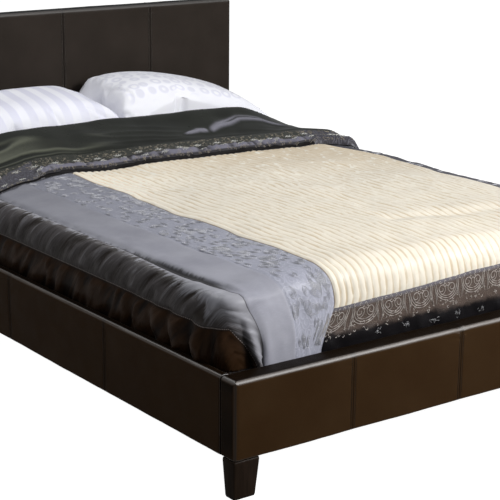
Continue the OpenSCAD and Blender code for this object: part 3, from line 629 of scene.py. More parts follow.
BED_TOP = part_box("mattress")[1][2]
MATTRESS_CORNER, MATTRESS_EDGE = 0.050, 0.020     # radii in plan, and along its top and bottom
RIDGE_X = 0.655           # where the comforter turns down at the sides
RIDGE_Y = -0.875          # where it turns down at the foot
FOLD_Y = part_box("comforter")[1][1]
HEM_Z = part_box("comforter")[0][2] - 0.010
LEFT_TOP, RIGHT_TOP, MID_TOP, FOOT_TOP = 0.022, 0.034, 0.043, 0.034     # above the mattress
SIDE_PROFILE = [(0, .014), (.004, .0162), (.011, .0165), (.022, .0105), (.032, -.002), (.0385, -.020),
                (.0395, -.045), (.0345, -.070), (.0385, -.092), (.0385, -.122), (.033, -.150), (.027, -.178)]
PLAIN_PROFILE = [(0, .014), (.008, .0125), (.018, .006), (.027, -.006), (.033, -.022), (.036, -.045),
                 (.037, -.070), (.038, -.098), (.037, -.125), (.033, -.150), (.027, -.178)]
FOOT_PROFILE = [(0, .034), (.020, .0318), (.040, .0255), (.057, .0150), (.0700, .0005), (.0785, -.018),
                (.0840, -.042), (.0880, -.070), (.0910, -.100), (.0930, -.130), (.0955, -.178)]
CREAM_LEFT, CREAM_RIGHT = -0.365, 0.632
BAND_LEFT, BAND_RIGHT = -0.530, 0.755     # outer edges of the embroidered bands
RIBS = 44
SPLINE_STEPS = 24         # points of a curve between two of its profile's points
CORNER_BEND = 0.027       # how far the side ridges bend inwards at the foot corners


def spline(points):
    """A dense smooth curve through points, as its arc lengths and its points."""
    p = np.array(points, dtype=float)
    p = np.concatenate([[2 * p[0] - p[1]], p, [2 * p[-1] - p[-2]]])
    t = np.linspace(0, 1, SPLINE_STEPS, endpoint=False)[:, None]
    parts = [0.5 * (2 * b + (c - a) * t + (2 * a - 5 * b + 4 * c - d) * t ** 2
                    + (3 * b - a - 3 * c + d) * t ** 3)
             for a, b, c, d in zip(p, p[1:], p[2:], p[3:])]
    curve = np.concatenate(parts + [p[-2:-1]])
    length = np.concatenate([[0], np.cumsum(np.linalg.norm(np.diff(curve, axis=0), axis=1))])
    return length, curve


SIDE_LENGTH, SIDE_CURVE = spline(SIDE_PROFILE)
PLAIN_LENGTH, PLAIN_CURVE = spline(PLAIN_PROFILE)
MID_SEAM = SIDE_LENGTH[7 * SPLINE_STEPS]     # of the side drop, along it from the ridge
FOOT_LENGTH, FOOT_CURVE = spline(FOOT_PROFILE)
DROP_SIDE, DROP_FOOT = SIDE_LENGTH[-1], FOOT_LENGTH[-1]
WAVES = Noise(21)
SLOW = Noise(22)


def head_rise(x, y):
    """The rise over the front of the lower pillows, less towards the sides."""
    side = np.where(x < 0, 0.55 * smooth_step(0.54, 0.68, -x), smooth_step(0.43, 0.70, x))
    rise = 0.096 * smooth_step(FOLD_Y - 0.185, FOLD_Y + 0.006, y) * (1 - side)
    under = np.maximum(pillow_rest("lower_left_pillow", x, y), pillow_rest("lower_right_pillow", x, y))
    need = under + 0.006 - BED_TOP - LEFT_TOP - (RIGHT_TOP - LEFT_TOP) * smooth_step(-0.1, 0.1, x)
    return np.logaddexp(rise / 0.006, need / 0.006) * 0.006


def top_z(x, y):
    """Height of the comforter's outer skin over the mattress top, at and between the ridges."""
    edge = np.where(x < 0, LEFT_TOP, RIGHT_TOP)
    share = np.clip(np.abs(x) / RIDGE_X, 0, 1)
    z = edge + (MID_TOP - edge) * (1 - share ** 2.6)
    near = smooth_step(RIDGE_Y + 0.20, RIDGE_Y, y)
    z = z + (np.minimum(z, FOOT_TOP) - z) * near
    soft = 0.0055 * SLOW(x / 0.23 + 3, y / 0.31) + 0.0032 * SLOW(x / 0.12 + 0.4 * y / 0.12, y / 0.15 + 7) \
        + 0.0016 * SLOW(x / 0.055 + 2, y / 0.085 + 3)
    dent = line_dent(x, y, (0.42, -0.75), (0.10, -0.66), 0.030, 0.006) \
        + line_dent(x, y, (0.10, -0.66), (0.17, -0.33), 0.034, 0.005)
    groove = (0.007 + 0.007 * smooth_step(-0.45, -0.70, y)) * np.exp(-((x + RIDGE_X) / 0.010) ** 2)
    return BED_TOP + z + (soft - dent) * smooth_step(0.66, 0.5, np.abs(x)) - groove + head_rise(x, y)


def line_dent(x, y, a, b, width, depth):
    """A soft dent along the line from a to b."""
    a, b = np.array(a), np.array(b)
    along = (b - a) / np.linalg.norm(b - a)
    s = np.clip((x - a[0]) * along[0] + (y - a[1]) * along[1], 0, np.linalg.norm(b - a))
    away = np.hypot(x - a[0] - s * along[0], y - a[1] - s * along[1])
    return depth * np.exp(-(away / width) ** 2)


CORNER_RING = 0.16        # length of the hem's path round a foot corner
FOLDS = [(-0.33, 0.008, 0.013), (-0.235, 0.010, 0.012), (-0.155, 0.013, 0.010), (-0.062, 0.016, 0.009),
         (0.030, 0.018, 0.0075), (0.100, 0.016, 0.009), (0.150, 0.010, 0.010)]
LOBES = [(-0.195, 0.010, 0.022), (-0.108, 0.015, 0.026), (-0.015, 0.018, 0.028), (0.066, 0.018, 0.020),
         (0.125, 0.012, 0.014)]


def hem_ring(u, w):
    """The drop's coordinate along the hem: below 0 along a side, it grows round the corner to the foot."""
    ks, kf = np.maximum(np.abs(u) - RIDGE_X, 0) / DROP_SIDE, np.maximum(RIDGE_Y - w, 0) / DROP_FOOT
    share = np.where(ks >= kf, 0.5 * kf / np.maximum(ks, 1e-9), 1 - 0.5 * ks / np.maximum(kf, 1e-9))
    ring = np.where((ks > 0) & (kf > 0), share * CORNER_RING,
                    np.where(kf > 0, CORNER_RING + (RIDGE_X - np.abs(u)), RIDGE_Y - np.maximum(w, RIDGE_Y)))
    return np.where(u < 0, ring, ring * 0.93 + 0.011)


def corner_folds(u, w):
    """How deep each point of the drops lies in a fold near a foot corner, from 0 to 1; the drop materials
    paint it as shade.
    """
    ring = hem_ring(u, w)
    k = np.maximum(np.maximum(np.abs(u) - RIDGE_X, 0) / DROP_SIDE, np.maximum(RIDGE_Y - w, 0) / DROP_FOOT)
    deep = np.zeros_like(ring)
    for at, _, width in FOLDS[3:]:
        deep = np.maximum(deep, np.exp(-((ring - at + 0.02 * (k - 1)) / (width * (1.9 - 0.9 * k))) ** 2))
    return deep * smooth_step(0.30, 0.75, k)


def drape(u, w):
    """Places of the comforter's outer skin for cloth coordinates across (u) and along (w) the bed."""
    side = np.where(u < 0, -1.0, 1.0)
    a = np.maximum(np.abs(u) - RIDGE_X, 0)
    b = np.maximum(RIDGE_Y - w, 0)
    x0, y0 = np.clip(u, -RIDGE_X, RIDGE_X), np.maximum(w, RIDGE_Y)
    z0 = top_z(x0, y0)
    ks, kf = a / DROP_SIDE, b / DROP_FOOT
    k = np.maximum(ks, kf)
    with np.errstate(invalid="ignore", divide="ignore"):
        turn = np.where(k == 0, 0.0, np.where(ks >= kf, 0.5 * kf / ks, 1 - 0.5 * ks / kf))
    turn = np.nan_to_num(turn)
    plain = np.where(u > 0, 1.0, smooth_step(0.14, 0.26, w))
    out_s, z_s = (np.interp(k * DROP_SIDE, SIDE_LENGTH, SIDE_CURVE[:, i]) * (1 - plain)
                  + np.interp(k * PLAIN_LENGTH[-1], PLAIN_LENGTH, PLAIN_CURVE[:, i]) * plain for i in (0, 1))
    out_f, z_f = (np.interp(k * DROP_FOOT, FOOT_LENGTH, FOOT_CURVE[:, i]) for i in (0, 1))
    corner = (a > 0) & (b > 0)
    angle = turn * np.pi / 2
    only_s, only_f = (a > 0) & (b == 0), (b > 0) & (a == 0)
    out_x = np.where(corner, out_s * np.cos(angle), np.where(only_s, out_s, 0))
    out_y = np.where(corner, out_f * np.sin(angle), np.where(only_f, out_f, 0))
    share = np.where(corner, turn, np.where(only_f, 1.0, 0.0))
    fall = (1 - share) * (z_s - SIDE_PROFILE[-1][1]) / (SIDE_PROFILE[0][1] - SIDE_PROFILE[-1][1]) \
        + share * (z_f - FOOT_PROFILE[-1][1]) / (FOOT_PROFILE[0][1] - FOOT_PROFILE[-1][1])
    x = x0 + side * out_x
    y = y0 - out_y
    z = np.where(k > 0, HEM_Z + (z0 - HEM_Z) * fall, z0)
    # on the foot face the strips near each corner slide inwards as they go down
    slide = (0.056 * smooth_step(0.0, 0.21, b * share)
             + CORNER_BEND * smooth_step(RIDGE_Y + 0.12, RIDGE_Y - 0.01, w)
             * (1 - smooth_step(0.0, 0.5, k) * (1 - share)))
    x = x - side * slide * np.clip((np.abs(u) - 0.31) / (RIDGE_X - 0.31), 0, 1)
    z = (z - 0.008 * smooth_step(RIDGE_Y + 0.08, RIDGE_Y, w) * smooth_step(0.50, 0.655, np.abs(u))
         * (1 - np.clip(k, 0, 1)))
    ring = hem_ring(u, w)
    outward = np.stack([side * np.cos(share * np.pi / 2), -np.sin(share * np.pi / 2)])
    push = np.zeros_like(x)
    for at, depth, width in FOLDS:
        push -= depth * np.exp(-((ring - at + 0.02 * (k - 1)) / (width * (1.9 - 0.9 * k))) ** 2)
    for at, height, width in LOBES:
        push += height * np.exp(-((ring - at) / width) ** 2)
    push *= np.where(k > 0, smooth_step(0.25, 1.0, k) ** 1.2, 0)
    x, y = x + outward[0] * push, y + outward[1] * push
    return keep_clear(np.stack([x, y, z], axis=-1))


def keep_clear(points, skin=0.0052):
    """Keeps points off the mattress, a box rounded in plan and along its top edge."""
    low, high = (np.array(v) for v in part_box("mattress"))
    corner, edge = MATTRESS_CORNER, MATTRESS_EDGE
    centre, half = (low + high)[:2] / 2, (high - low)[:2] / 2 - corner
    p = points[..., :2] - centre
    over = np.abs(p) - half
    outside = np.maximum(over, 0)
    away = np.linalg.norm(outside, axis=-1)
    beyond = away + np.minimum(over.max(axis=-1), 0) - corner
    nearer = np.stack([over[..., 0] >= over[..., 1], over[..., 0] < over[..., 1]], axis=-1)
    way = np.where(away[..., None] > 1e-9, outside / np.maximum(away, 1e-9)[..., None], nearer) * np.sign(p)
    out, up = beyond + edge, points[..., 2] - BED_TOP + edge
    length = np.hypot(np.maximum(out, 0), np.maximum(up, 0))
    need = np.clip(skin - (length + np.minimum(np.maximum(out, up), 0) - edge), 0, 0.06)
    both = (out > 0) & (up > 0)
    points = points.copy()
    points[..., :2] += way * (need * np.where(both, out / np.maximum(length, 1e-9), out > up))[..., None]
    points[..., 2] += need * np.where(both, up / np.maximum(length, 1e-9), out <= up)
    return points


def cloth_columns():
    """Cloth coordinates across the comforter: region edges fall on columns, and each rib has five."""
    left = -RIDGE_X - DROP_SIDE
    parts = [np.linspace(left, -RIDGE_X, 40, endpoint=False),
             np.linspace(-RIDGE_X, BAND_LEFT, 26, endpoint=False),
             np.linspace(BAND_LEFT, CREAM_LEFT, 40, endpoint=False),
             np.linspace(CREAM_LEFT, CREAM_RIGHT, RIBS * 5, endpoint=False),
             np.linspace(CREAM_RIGHT, BAND_RIGHT, 32, endpoint=False),
             np.linspace(BAND_RIGHT, -left, 20)]
    return np.concatenate(parts)


def border_arc(u):
    """How far the cream panel reaches down the foot face."""
    return 0.152 - 0.040 * smooth_step(CREAM_LEFT, CREAM_RIGHT, u) ** 0.8


def grid_at(grid, i, j):
    """A grid's values between its rows (i) and columns (j)."""
    i0, j0 = (np.clip(v.astype(int), 0, n - 2) for v, n in zip((i, j), grid.shape))
    fi, fj = (i - i0)[..., None], (j - j0)[..., None]
    return ((grid[i0, j0] * (1 - fj) + grid[i0, j0 + 1] * fj) * (1 - fi)
            + (grid[i0 + 1, j0] * (1 - fj) + grid[i0 + 1, j0 + 1] * fj) * fi)


def middle(grid):
    """The mean of the four points of each face of a grid."""
    return (grid[:-1, :-1] + grid[1:, :-1] + grid[:-1, 1:] + grid[1:, 1:]) / 4


class Skin:
    """A draped grid of points that can be asked for places and normals at cloth coordinates."""

    def __init__(self, grid, columns, rows):
        """columns are the across coordinates of the grid's columns, rows the along ones of its rows."""
        self.grid, self.columns, self.rows = grid, columns, rows
        self.normals = normals_of(grid)

    def at(self, u, w):
        j = np.interp(u, self.columns, np.arange(len(self.columns)))
        i = np.interp(w, self.rows, np.arange(len(self.rows)))
        return grid_at(self.grid, i, j), grid_at(self.normals, i, j)

    def threads(self, name, paths, radius, material, lift, sides=4):
        """Thread laid on the skin along paths of cloth coordinates, an array of (count, steps, 2)."""
        place, normal = self.at(paths[..., 0], paths[..., 1])
        points, faces = tubes(place + normal * (radius * 0.3 + lift), normal, radius, sides, 0.8)
        make_piece(name, points, faces, [MATERIALS[material]])


def coarse_inner(outer, inner, rows, columns):
    """A closed skin whose inner side keeps only some rows and columns. Returns points and faces."""
    n_rows, n_columns = outer.shape[:2]
    kept = inner[np.ix_(rows, columns)]
    start = n_rows * n_columns
    points = np.concatenate([outer.reshape(-1, 3), kept.reshape(-1, 3)])
    faces = [tuple(f) for f in grid_faces(n_rows, n_columns)]
    faces += [tuple(f) for f in grid_faces(len(rows), len(columns), start, True)]

    def rim(fixed_outer, fixed_inner, stations_, vertical, flip):
        for k, (a, b) in enumerate(zip(stations_, stations_[1:])):
            line = range(a, b + 1)
            edge = [(i * n_columns + fixed_outer) if vertical else (fixed_outer * n_columns + i)
                    for i in line]
            near, far = k, k + 1
            if vertical:
                back = [start + far * len(columns) + fixed_inner, start + near * len(columns) + fixed_inner]
            else:
                back = [start + fixed_inner * len(columns) + far, start + fixed_inner * len(columns) + near]
            face = edge + back
            faces.append(tuple(face[::-1] if flip else face))
    rim(0, 0, columns, False, True)
    rim(n_rows - 1, len(rows) - 1, columns, False, False)
    rim(0, 0, rows, True, False)
    rim(n_columns - 1, len(columns) - 1, rows, True, True)
    return points, faces


# ---------- bedding: the comforter ----------

ARC_ROW = 26              # row of the foot drop on which the cream panel ends
PLAIN_COLUMN = 60         # a column whose rows lie at the plain satin's places along the bed
FOOT_ROWS = 42            # rows of the foot drop
FOLD_HEM = [(-0.90, 0.235), (-0.655, 0.240), (-0.56, 0.285), (-0.47, 0.310), (-0.35, 0.313), (-0.15, 0.297),
            (0.08, 0.278), (0.32, 0.272), (0.50, 0.266), (0.59, 0.262), (0.655, 0.200), (0.72, 0.165),
            (0.90, 0.160)]
HEM_X, HEM_Y = (np.array(v) for v in zip(*FOLD_HEM))
EVERYWHERE = slice(None)


def make_quilt(name, outer, inner, rows, columns, regions, cloth, fold):
    """A quilted piece between two skins. regions gives each cloth its faces, later ones over earlier ones."""
    points, faces = coarse_inner(outer, inner, rows, columns)
    cloths = [*dict.fromkeys(key for key, _ in regions), "lining"]
    kinds = np.full(len(faces), len(cloths) - 1)
    outside = np.zeros((outer.shape[0] - 1, outer.shape[1] - 1), dtype=int)
    for key, where in regions:
        outside[where] = cloths.index(key)
    kinds[:outside.size] = outside.ravel()
    marks = {"cloth": np.zeros((len(points), 3)), "fold": np.zeros((len(points), 3))}
    for key, values in (("cloth", cloth), ("fold", fold)):
        marks[key][:outer.size // 3, :len(values)] = np.stack(values, axis=-1).reshape(-1, len(values))
    made = make_piece(name, points, faces, [MATERIALS[key] for key in cloths], marks, kinds)
    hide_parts("comforter")


def fold_hem(u):
    """Where the turned-back hem lies along the bed."""
    return np.interp(u, HEM_X, HEM_Y) + 0.004 * WAVES(u / 0.07 + 5)


def ribs(u):
    """Phase of the cream panel's tucks, from 0 to 1 across each."""
    return ((u - CREAM_LEFT) / (CREAM_RIGHT - CREAM_LEFT) * RIBS) % 1.0


def rib_wander(u, w):
    """Sideways wander of the cream panel's tucks, alike for tucks that lie side by side."""
    inside = smooth_step(0, 0.03, np.minimum(u - CREAM_LEFT, CREAM_RIGHT - u))
    return inside * (0.0036 * WAVES(w / 0.045 + 3, u / 0.16) + 0.0020 * WAVES(w / 0.019 + 8, u / 0.07))


def panel_wave(u, w):
    """Sideways wander of the panels, greatest where the cream panel meets the embroidery."""
    bend = (0.010 * WAVES(w / 0.21 + 11) + 0.005 * WAVES(w / 0.075 + 2)
            - 0.016 * np.exp(-((w + 0.42) / 0.22) ** 2))
    bend = bend * (np.exp(-((u - CREAM_LEFT) / 0.11) ** 2) + np.exp(-((u - CREAM_RIGHT) / 0.08) ** 2))
    return bend - 0.034 * np.exp(-((w - 0.26) / 0.13) ** 2) * np.exp(-((u - CREAM_RIGHT) / 0.07) ** 2)


def crested(value):
    """Turns noise from -1 to 1 into narrow crests and broad valleys, from 0 to about 0.9."""
    return np.maximum(1 - np.sqrt(value ** 2 + 0.012), 0)


def satin_gathers(along, down, seams):
    """Wrinkles down a gathered strip, held flat at its seams: their height, and their crests from -1 to 1,
    which the drop materials paint as highlights and shade.
    """
    lean = along - 0.8 * down + 0.012 * SLOW(along / 0.09 + 2, down / 0.07)
    near = np.min([np.abs(down - seam) for seam in seams], axis=0)
    held = 1 - np.exp(-(near / 0.012) ** 2)
    broad = crested(SLOW(lean / 0.036 + 4, down / 0.11)) ** 1.4
    narrow = crested(SLOW(lean / 0.019 + 8, down / 0.08 + 3)) ** 1.4
    pucker = WAVES(lean / 0.0095, down / 0.04 + 6) * np.exp(-near / 0.010)
    height = held * (0.0105 * (broad - 0.5) + 0.0045 * (narrow - 0.5)) + 0.0011 * pucker
    crest = np.clip(1.15 * broad + 0.55 * narrow - 0.95, -1, 1) * (0.25 + 0.75 * held) + 0.35 * pucker
    return height, np.clip(crest, -1, 1)


def make_comforter():
    """The comforter: a tucked cream panel between embroidered bands, with gathered satin drops."""
    columns = cloth_columns()
    flat = np.concatenate([np.arange(RIDGE_Y, 0.395, 0.007), np.linspace(0.40, FOLD_Y - 0.004, 11)])
    kappa = np.linspace(1, 0, FOOT_ROWS + 1)[:-1]
    end = ARC_ROW / FOOT_ROWS
    u = np.broadcast_to(columns, (len(kappa) + len(flat), len(columns)))
    arc = border_arc(columns)
    fall = np.where(kappa[:, None] < end, arc * kappa[:, None] / end,
                    arc + (DROP_FOOT - arc) * (kappa[:, None] - end) / (1 - end))
    w = np.concatenate([RIDGE_Y - fall, np.broadcast_to(flat[:, None], (len(flat), len(columns)))])
    base = drape(u, w)
    wander = panel_wave(u, w) * smooth_step(RIDGE_Y - 0.22, RIDGE_Y - 0.02, w)
    base[..., 0] += (wander + rib_wander(u, w) - 0.050 * smooth_step(0.13, 0.26, RIDGE_Y - w)
                     * np.exp(-((u - CREAM_LEFT) / 0.10) ** 2))
    level = np.concatenate([kappa, -np.arange(len(flat))])[:, None] + np.zeros_like(u)
    a, b = np.abs(u) - RIDGE_X, RIDGE_Y - w
    normal = normals_of(calm(base, 3))
    under = 1 - smooth_step(0.0, 0.05, w - fold_hem(u))
    cream = (u >= CREAM_LEFT) & (u <= CREAM_RIGHT) & (level <= end)
    band = ((u > BAND_LEFT) & (u < CREAM_LEFT)) | ((u > CREAM_RIGHT) & (u < BAND_RIGHT))
    plain = (u > -RIDGE_X) & (u <= BAND_LEFT)
    border = (u >= CREAM_LEFT) & (u <= CREAM_RIGHT) & (level > end)
    drop_left, drop_right = u <= -RIDGE_X, u >= BAND_RIGHT

    phase = ribs(u)
    lively = 0.80 + 0.45 * SLOW(u / 0.05, w / 0.07)
    tuck = 0.0030 * np.sin(np.pi * phase) ** 0.55 * lively
    height = np.where(cream, tuck, 0.0)
    tufts = 0.0007 * WAVES(u / 0.013, w / 0.015) + 0.0020 * SLOW(u / 0.045, w / 0.05)
    seam_away = np.minimum(np.abs(u - CREAM_LEFT), np.abs(u - BAND_LEFT))
    height = np.where(band | border, tufts * smooth_step(0, 0.02, seam_away + border), height)
    ruffle = 0.004 + 0.0065 * SLOW(u / 0.034 + 2, b / 0.05) + 0.0022 * WAVES(u / 0.017, b / 0.03)
    height = height + np.where(border, ruffle * smooth_step(0.205, 0.235, b), 0)
    height = np.where(plain, 0.0030 * SLOW((u + 0.5 * w) / 0.055, w / 0.12)
                      + 0.0006 * WAVES(u / 0.02, w / 0.03), height)
    gathers, crest = satin_gathers(w - 0.8 * np.maximum(b, 0), a, (0.0, MID_SEAM, DROP_SIDE + 0.02))
    gathers = gathers - 0.0025 * np.exp(-((a - MID_SEAM) / 0.0035) ** 2)
    corner = smooth_step(0.0, 0.05, b)
    gathers, crest = gathers * (1 - 0.5 * corner), crest * (1 - 0.6 * corner)
    height = np.where(drop_left | drop_right, gathers * smooth_step(-0.002, 0.012, a), height)
    puckered = np.clip(WAVES(w / 0.024, u / 0.05 + 3), 0, 1) * np.exp(-np.abs(u + RIDGE_X) / 0.022)
    height = height - np.where(plain, 0.0030 * puckered, 0)
    for line in (CREAM_LEFT, BAND_LEFT, CREAM_RIGHT, BAND_RIGHT):
        height = height - 0.0016 * np.exp(-((u - line) / 0.0032) ** 2)
    height = height - 0.0020 * np.exp(-((level - end) / 0.03) ** 2) * ((u > CREAM_LEFT) & (u < CREAM_RIGHT))
    least = -0.0030
    height = np.where((a > 0) | (b > 0), least + 0.0014 * np.logaddexp(0, (height - least) / 0.0014), height)
    outer = base + normal * (height * under)[..., None]

    wall = 0.0046
    inner = base - normal * wall
    on_top = (a <= 0) & (b <= 0)
    inner[..., 2] = np.where(on_top, BED_TOP + 0.0008 + head_rise(base[..., 0], base[..., 1]), inner[..., 2])
    inner[..., :2] = np.where(on_top[..., None], base[..., :2], inner[..., :2])
    inner = np.where(on_top[..., None], inner, keep_clear(inner, 0.0010))

    last_column = len(columns) - 1
    keep_columns = sorted({*range(0, 40, 2), *range(40, last_column - 20, 4),
                           *range(last_column - 20, last_column, 2), last_column})
    last = len(w) - 1
    keep_rows = sorted({*range(0, FOOT_ROWS, 2), *range(FOOT_ROWS, FOOT_ROWS + 60),
                        *range(FOOT_ROWS + 60, last, 4), last})
    um, am, lm = middle(u), middle(a), middle(level)
    panel, drop = (um > CREAM_LEFT) & (um < CREAM_RIGHT), (um < -RIDGE_X) | (um > BAND_RIGHT)
    regions = [("embroidery", EVERYWHERE), ("cream", panel & (lm <= end)),
               ("embroidery_dark", (um > CREAM_RIGHT) & (um < BAND_RIGHT)),
               ("lavender", (um > -RIDGE_X) & (um < BAND_LEFT)), ("border", panel & (lm > end)),
               ("drop", drop), ("drop_low", drop & (am > MID_SEAM))]
    down = np.where(border, b - border_arc(u), np.maximum(a, 0))
    # The fold attribute carries the gather crests and corner fold depths, which the drop materials paint as
    # highlights and shade.
    make_quilt("comforter_quilt", outer, inner, keep_rows, keep_columns, regions, (u, w, down),
               (crest, corner_folds(u, w)))
    return Skin(outer, columns, w[:, PLAIN_COLUMN]), w


def comforter_threads(skin):
    """Raised scrolls on the embroidered bands, laid along the comforter's skin."""
    random = np.random.default_rng(31)
    turn = np.linspace(0, 1, 22)

    def scroll(count, low_u, high_u, low_w, high_w, size):
        cu, cw = random.uniform(low_u, high_u, count), random.uniform(low_w, high_w, count)
        start, way = random.uniform(0, 2 * np.pi, count), random.choice([-1, 1], count)
        grow = random.uniform(0.7, 1.3, count) * size
        angle = start[:, None] + way[:, None] * turn * 2 * np.pi * 0.85
        loops = []
        for inset in (0.0, 0.0044, 0.0088):
            radius = np.maximum(grow[:, None] * (1 - 0.55 * turn) - inset, 0.0012)
            loops.append(np.stack([np.clip(cu[:, None] + radius * np.cos(angle), low_u, high_u),
                                   np.clip(cw[:, None] + 1.25 * radius * np.sin(angle), low_w, high_w)],
                                   axis=-1))
        return np.concatenate(loops)
    left = scroll(240, BAND_LEFT + 0.004, CREAM_LEFT - 0.004, RIDGE_Y - 0.235, 0.36, 0.017)
    right = scroll(50, CREAM_RIGHT + 0.004, BAND_RIGHT - 0.02, RIDGE_Y - 0.20, 0.36, 0.015)
    skin.threads("comforter_band_embroidery", np.concatenate([left, right]), 0.0008, "silver_thread", 0.0003)


def border_threads(skin, w):
    """Scrolls on the foot border, one large pair in each repeat, and sprigs on the dark hem under them."""
    arcs = border_arc(skin.columns)
    pitch = 0.092
    centres = np.arange(CREAM_LEFT + 0.02, CREAM_RIGHT, pitch)
    turn = np.linspace(0, 1, 30)
    paths = []

    def spiral(u0, b0, size, start, way, turns=1.35):
        angle = start + way * turn * 2 * np.pi * turns
        radius = size * (1 - 0.82 * turn) ** 0.9
        return np.stack([u0 + radius * np.cos(angle), b0 + radius * np.sin(angle)], axis=-1)
    random = np.random.default_rng(32)
    for c in centres:
        for side in (-1, 1):
            paths += [spiral(c + side * 0.017, 0.026, 0.0150, np.pi / 2 - side * 0.5, side, 1.5),
                      spiral(c + side * 0.006, 0.016, 0.0060, np.pi / 2 + side * 1.8, -side, 1.0)]
            for k in range(3):
                bow = np.pi * (0.5 + side * 0.5 * turn)
                paths.append(np.stack([c + (0.024 + 0.0050 * k) * np.cos(bow) * 1.15,
                                       0.020 + (0.026 + 0.0060 * k) * np.sin(bow)], axis=-1))
            for k in range(2):
                paths.append(np.stack([c + side * (pitch / 2 - 0.004 - 0.005 * k)
                                       - side * 0.003 * np.sin(turn * np.pi),
                                       0.008 + turn * (0.056 - 0.012 * k)], axis=-1))
        for _ in range(16):
            u0, b0 = c + random.uniform(-0.040, 0.040), random.uniform(0.044, 0.076)
            paths.append(spiral(u0, b0, random.uniform(0.0025, 0.0045), random.uniform(0, 6),
                                random.choice([-1, 1]), 0.7))
    for c in np.arange(CREAM_LEFT + 0.01, CREAM_RIGHT, 0.017):
        paths.append(spiral(c, 0.0065 + 0.0015 * np.sin(c * 90), 0.0050, c * 70,
                            1 if np.sin(c * 50) > 0 else -1, 0.8))
    paths = np.array(paths)
    columns = np.interp(paths[..., 0], skin.columns, np.arange(len(skin.columns)))
    fall = paths[..., 1] + np.interp(columns, np.arange(len(arcs)), arcs)
    place, normal = border_places(skin, w, columns, fall)
    points, faces = tubes(place + normal * 0.0006, normal, 0.0008, 4, 0.7)
    make_piece("foot_border_embroidery", points, faces, [MATERIALS["border_thread"]])

    petals = []
    for c in np.arange(CREAM_LEFT + 0.155, CREAM_RIGHT - 0.02, 0.090):
        middle_u, middle_b = c + random.uniform(-0.006, 0.006), 0.238 + random.uniform(-0.004, 0.004)
        for _ in range(11):
            from_u, from_b = middle_u + random.normal(0, 0.006), middle_b + random.normal(0, 0.004)
            angle, bent = random.uniform(0, 2 * np.pi), random.uniform(-1.2, 1.2)
            reach = np.linspace(0.0, random.uniform(0.003, 0.008), 30)
            bend = angle + bent * np.linspace(0, 1, 30)
            petals.append(np.stack([from_u + reach * np.cos(bend), from_b + reach * np.sin(bend)], axis=-1))
    petals = np.array(petals)
    columns = np.interp(petals[..., 0], skin.columns, np.arange(len(skin.columns)))
    place, normal = border_places(skin, w, columns, petals[..., 1])
    points, faces = tubes(place + normal * 0.0004, normal, 0.00045, 4, 0.8)
    make_piece("foot_hem_sprigs", points, faces, [MATERIALS["white_thread"]])


def border_places(skin, w, columns, fall):
    """Places and normals on the foot drop, for column numbers and distances down from the ridge."""
    nearest = np.clip(columns.astype(int), 0, w.shape[1] - 2)
    rows = np.empty_like(fall)
    for index in np.ndindex(*fall.shape):
        rows[index] = np.interp(RIDGE_Y - fall[index], w[:FOOT_ROWS + 1, nearest[index]],
                                np.arange(FOOT_ROWS + 1))
    return grid_at(skin.grid, rows, columns), grid_at(skin.normals, rows, columns)


# ---------- bedding: the turned-back end ----------

PUFF, SPRIG_END, EDGING = 0.052, 0.110, 0.0050      # how far from its hem each strip reaches
CREASE = [(0.13, 0.168), (0.20, 0.186), (0.245, 0.178), (0.29, 0.196), (0.39, 0.226), (0.48, 0.220),
          (0.57, 0.180)]


def roll_height(u, d, depth):
    """The turned-back end at distance d from its hem: its thickness, and how much it catches the light."""
    puffed = 0.35 + 0.65 * smooth_step(-0.50, -0.43, u)
    lump = 0.6 * WAVES(u / 0.013, 3 + d / 0.022) + 0.4 * SLOW(u / 0.045, 9 + d / 0.05)
    roll = (0.026 * np.clip(np.sin(np.pi * np.clip(d / 0.062, 0, 1)), 0, 1) ** 0.55 * (1 + 0.42 * lump)
            * puffed)
    row = (0.021 * smooth_step(0.030, 0.052, d) + 0.011 * smooth_step(0.052, 0.115, d)
           - 0.022 * smooth_step(0.125, 0.240, d))
    rest = d / depth
    amid = smooth_step(0.105, 0.13, d) * (1 - smooth_step(0.72, 0.90, rest))
    lines = crested(SLOW(u / 0.30 + 2, d / 0.022 + 1.6 * u + 0.5 * SLOW(u / 0.15) + 3)) ** 1.5
    leftward = 0.35 + 0.65 * smooth_step(0.05, -0.45, u)
    path = np.interp(u, [c[0] for c in CREASE], [c[1] for c in CREASE])
    width = 0.0060 + 0.009 * np.sin(np.pi * np.clip((u - 0.13) / 0.45, 0, 1))
    strong = (smooth_step(0.12, 0.16, u) * (1 - smooth_step(0.53, 0.59, u))
              * (1 - 0.8 * np.exp(-((u - 0.238) / 0.010) ** 2)))
    side = (d - path) / width
    crease = ((np.exp(-side ** 2) - 0.75 * np.exp(-((side - 0.1) / 0.28) ** 2) * smooth_step(0.28, 0.36, u))
              * strong)
    swell = 0.004 * SLOW(u / 0.19 + 1, d / 0.09 + 5)
    height = row + amid * (0.0055 * leftward * (lines - 0.45) + 0.009 * crease + swell) + 0.002
    edge = 1 - smooth_step(0.90, 1.0, rest) ** 2
    front = 0.72 + 1.0 * lump - 1.5 * smooth_step(0.0125, 0.0055, d) - 0.5 * smooth_step(0.040, 0.050, d)
    glint = np.where(d < PUFF, front, np.clip(1.5 * lines * leftward - 0.45, 0, 0.75) * amid
                     + 1.1 * crease * amid)
    return np.maximum(roll, height) * np.sqrt(np.clip(edge, 0.02, 1)), glint


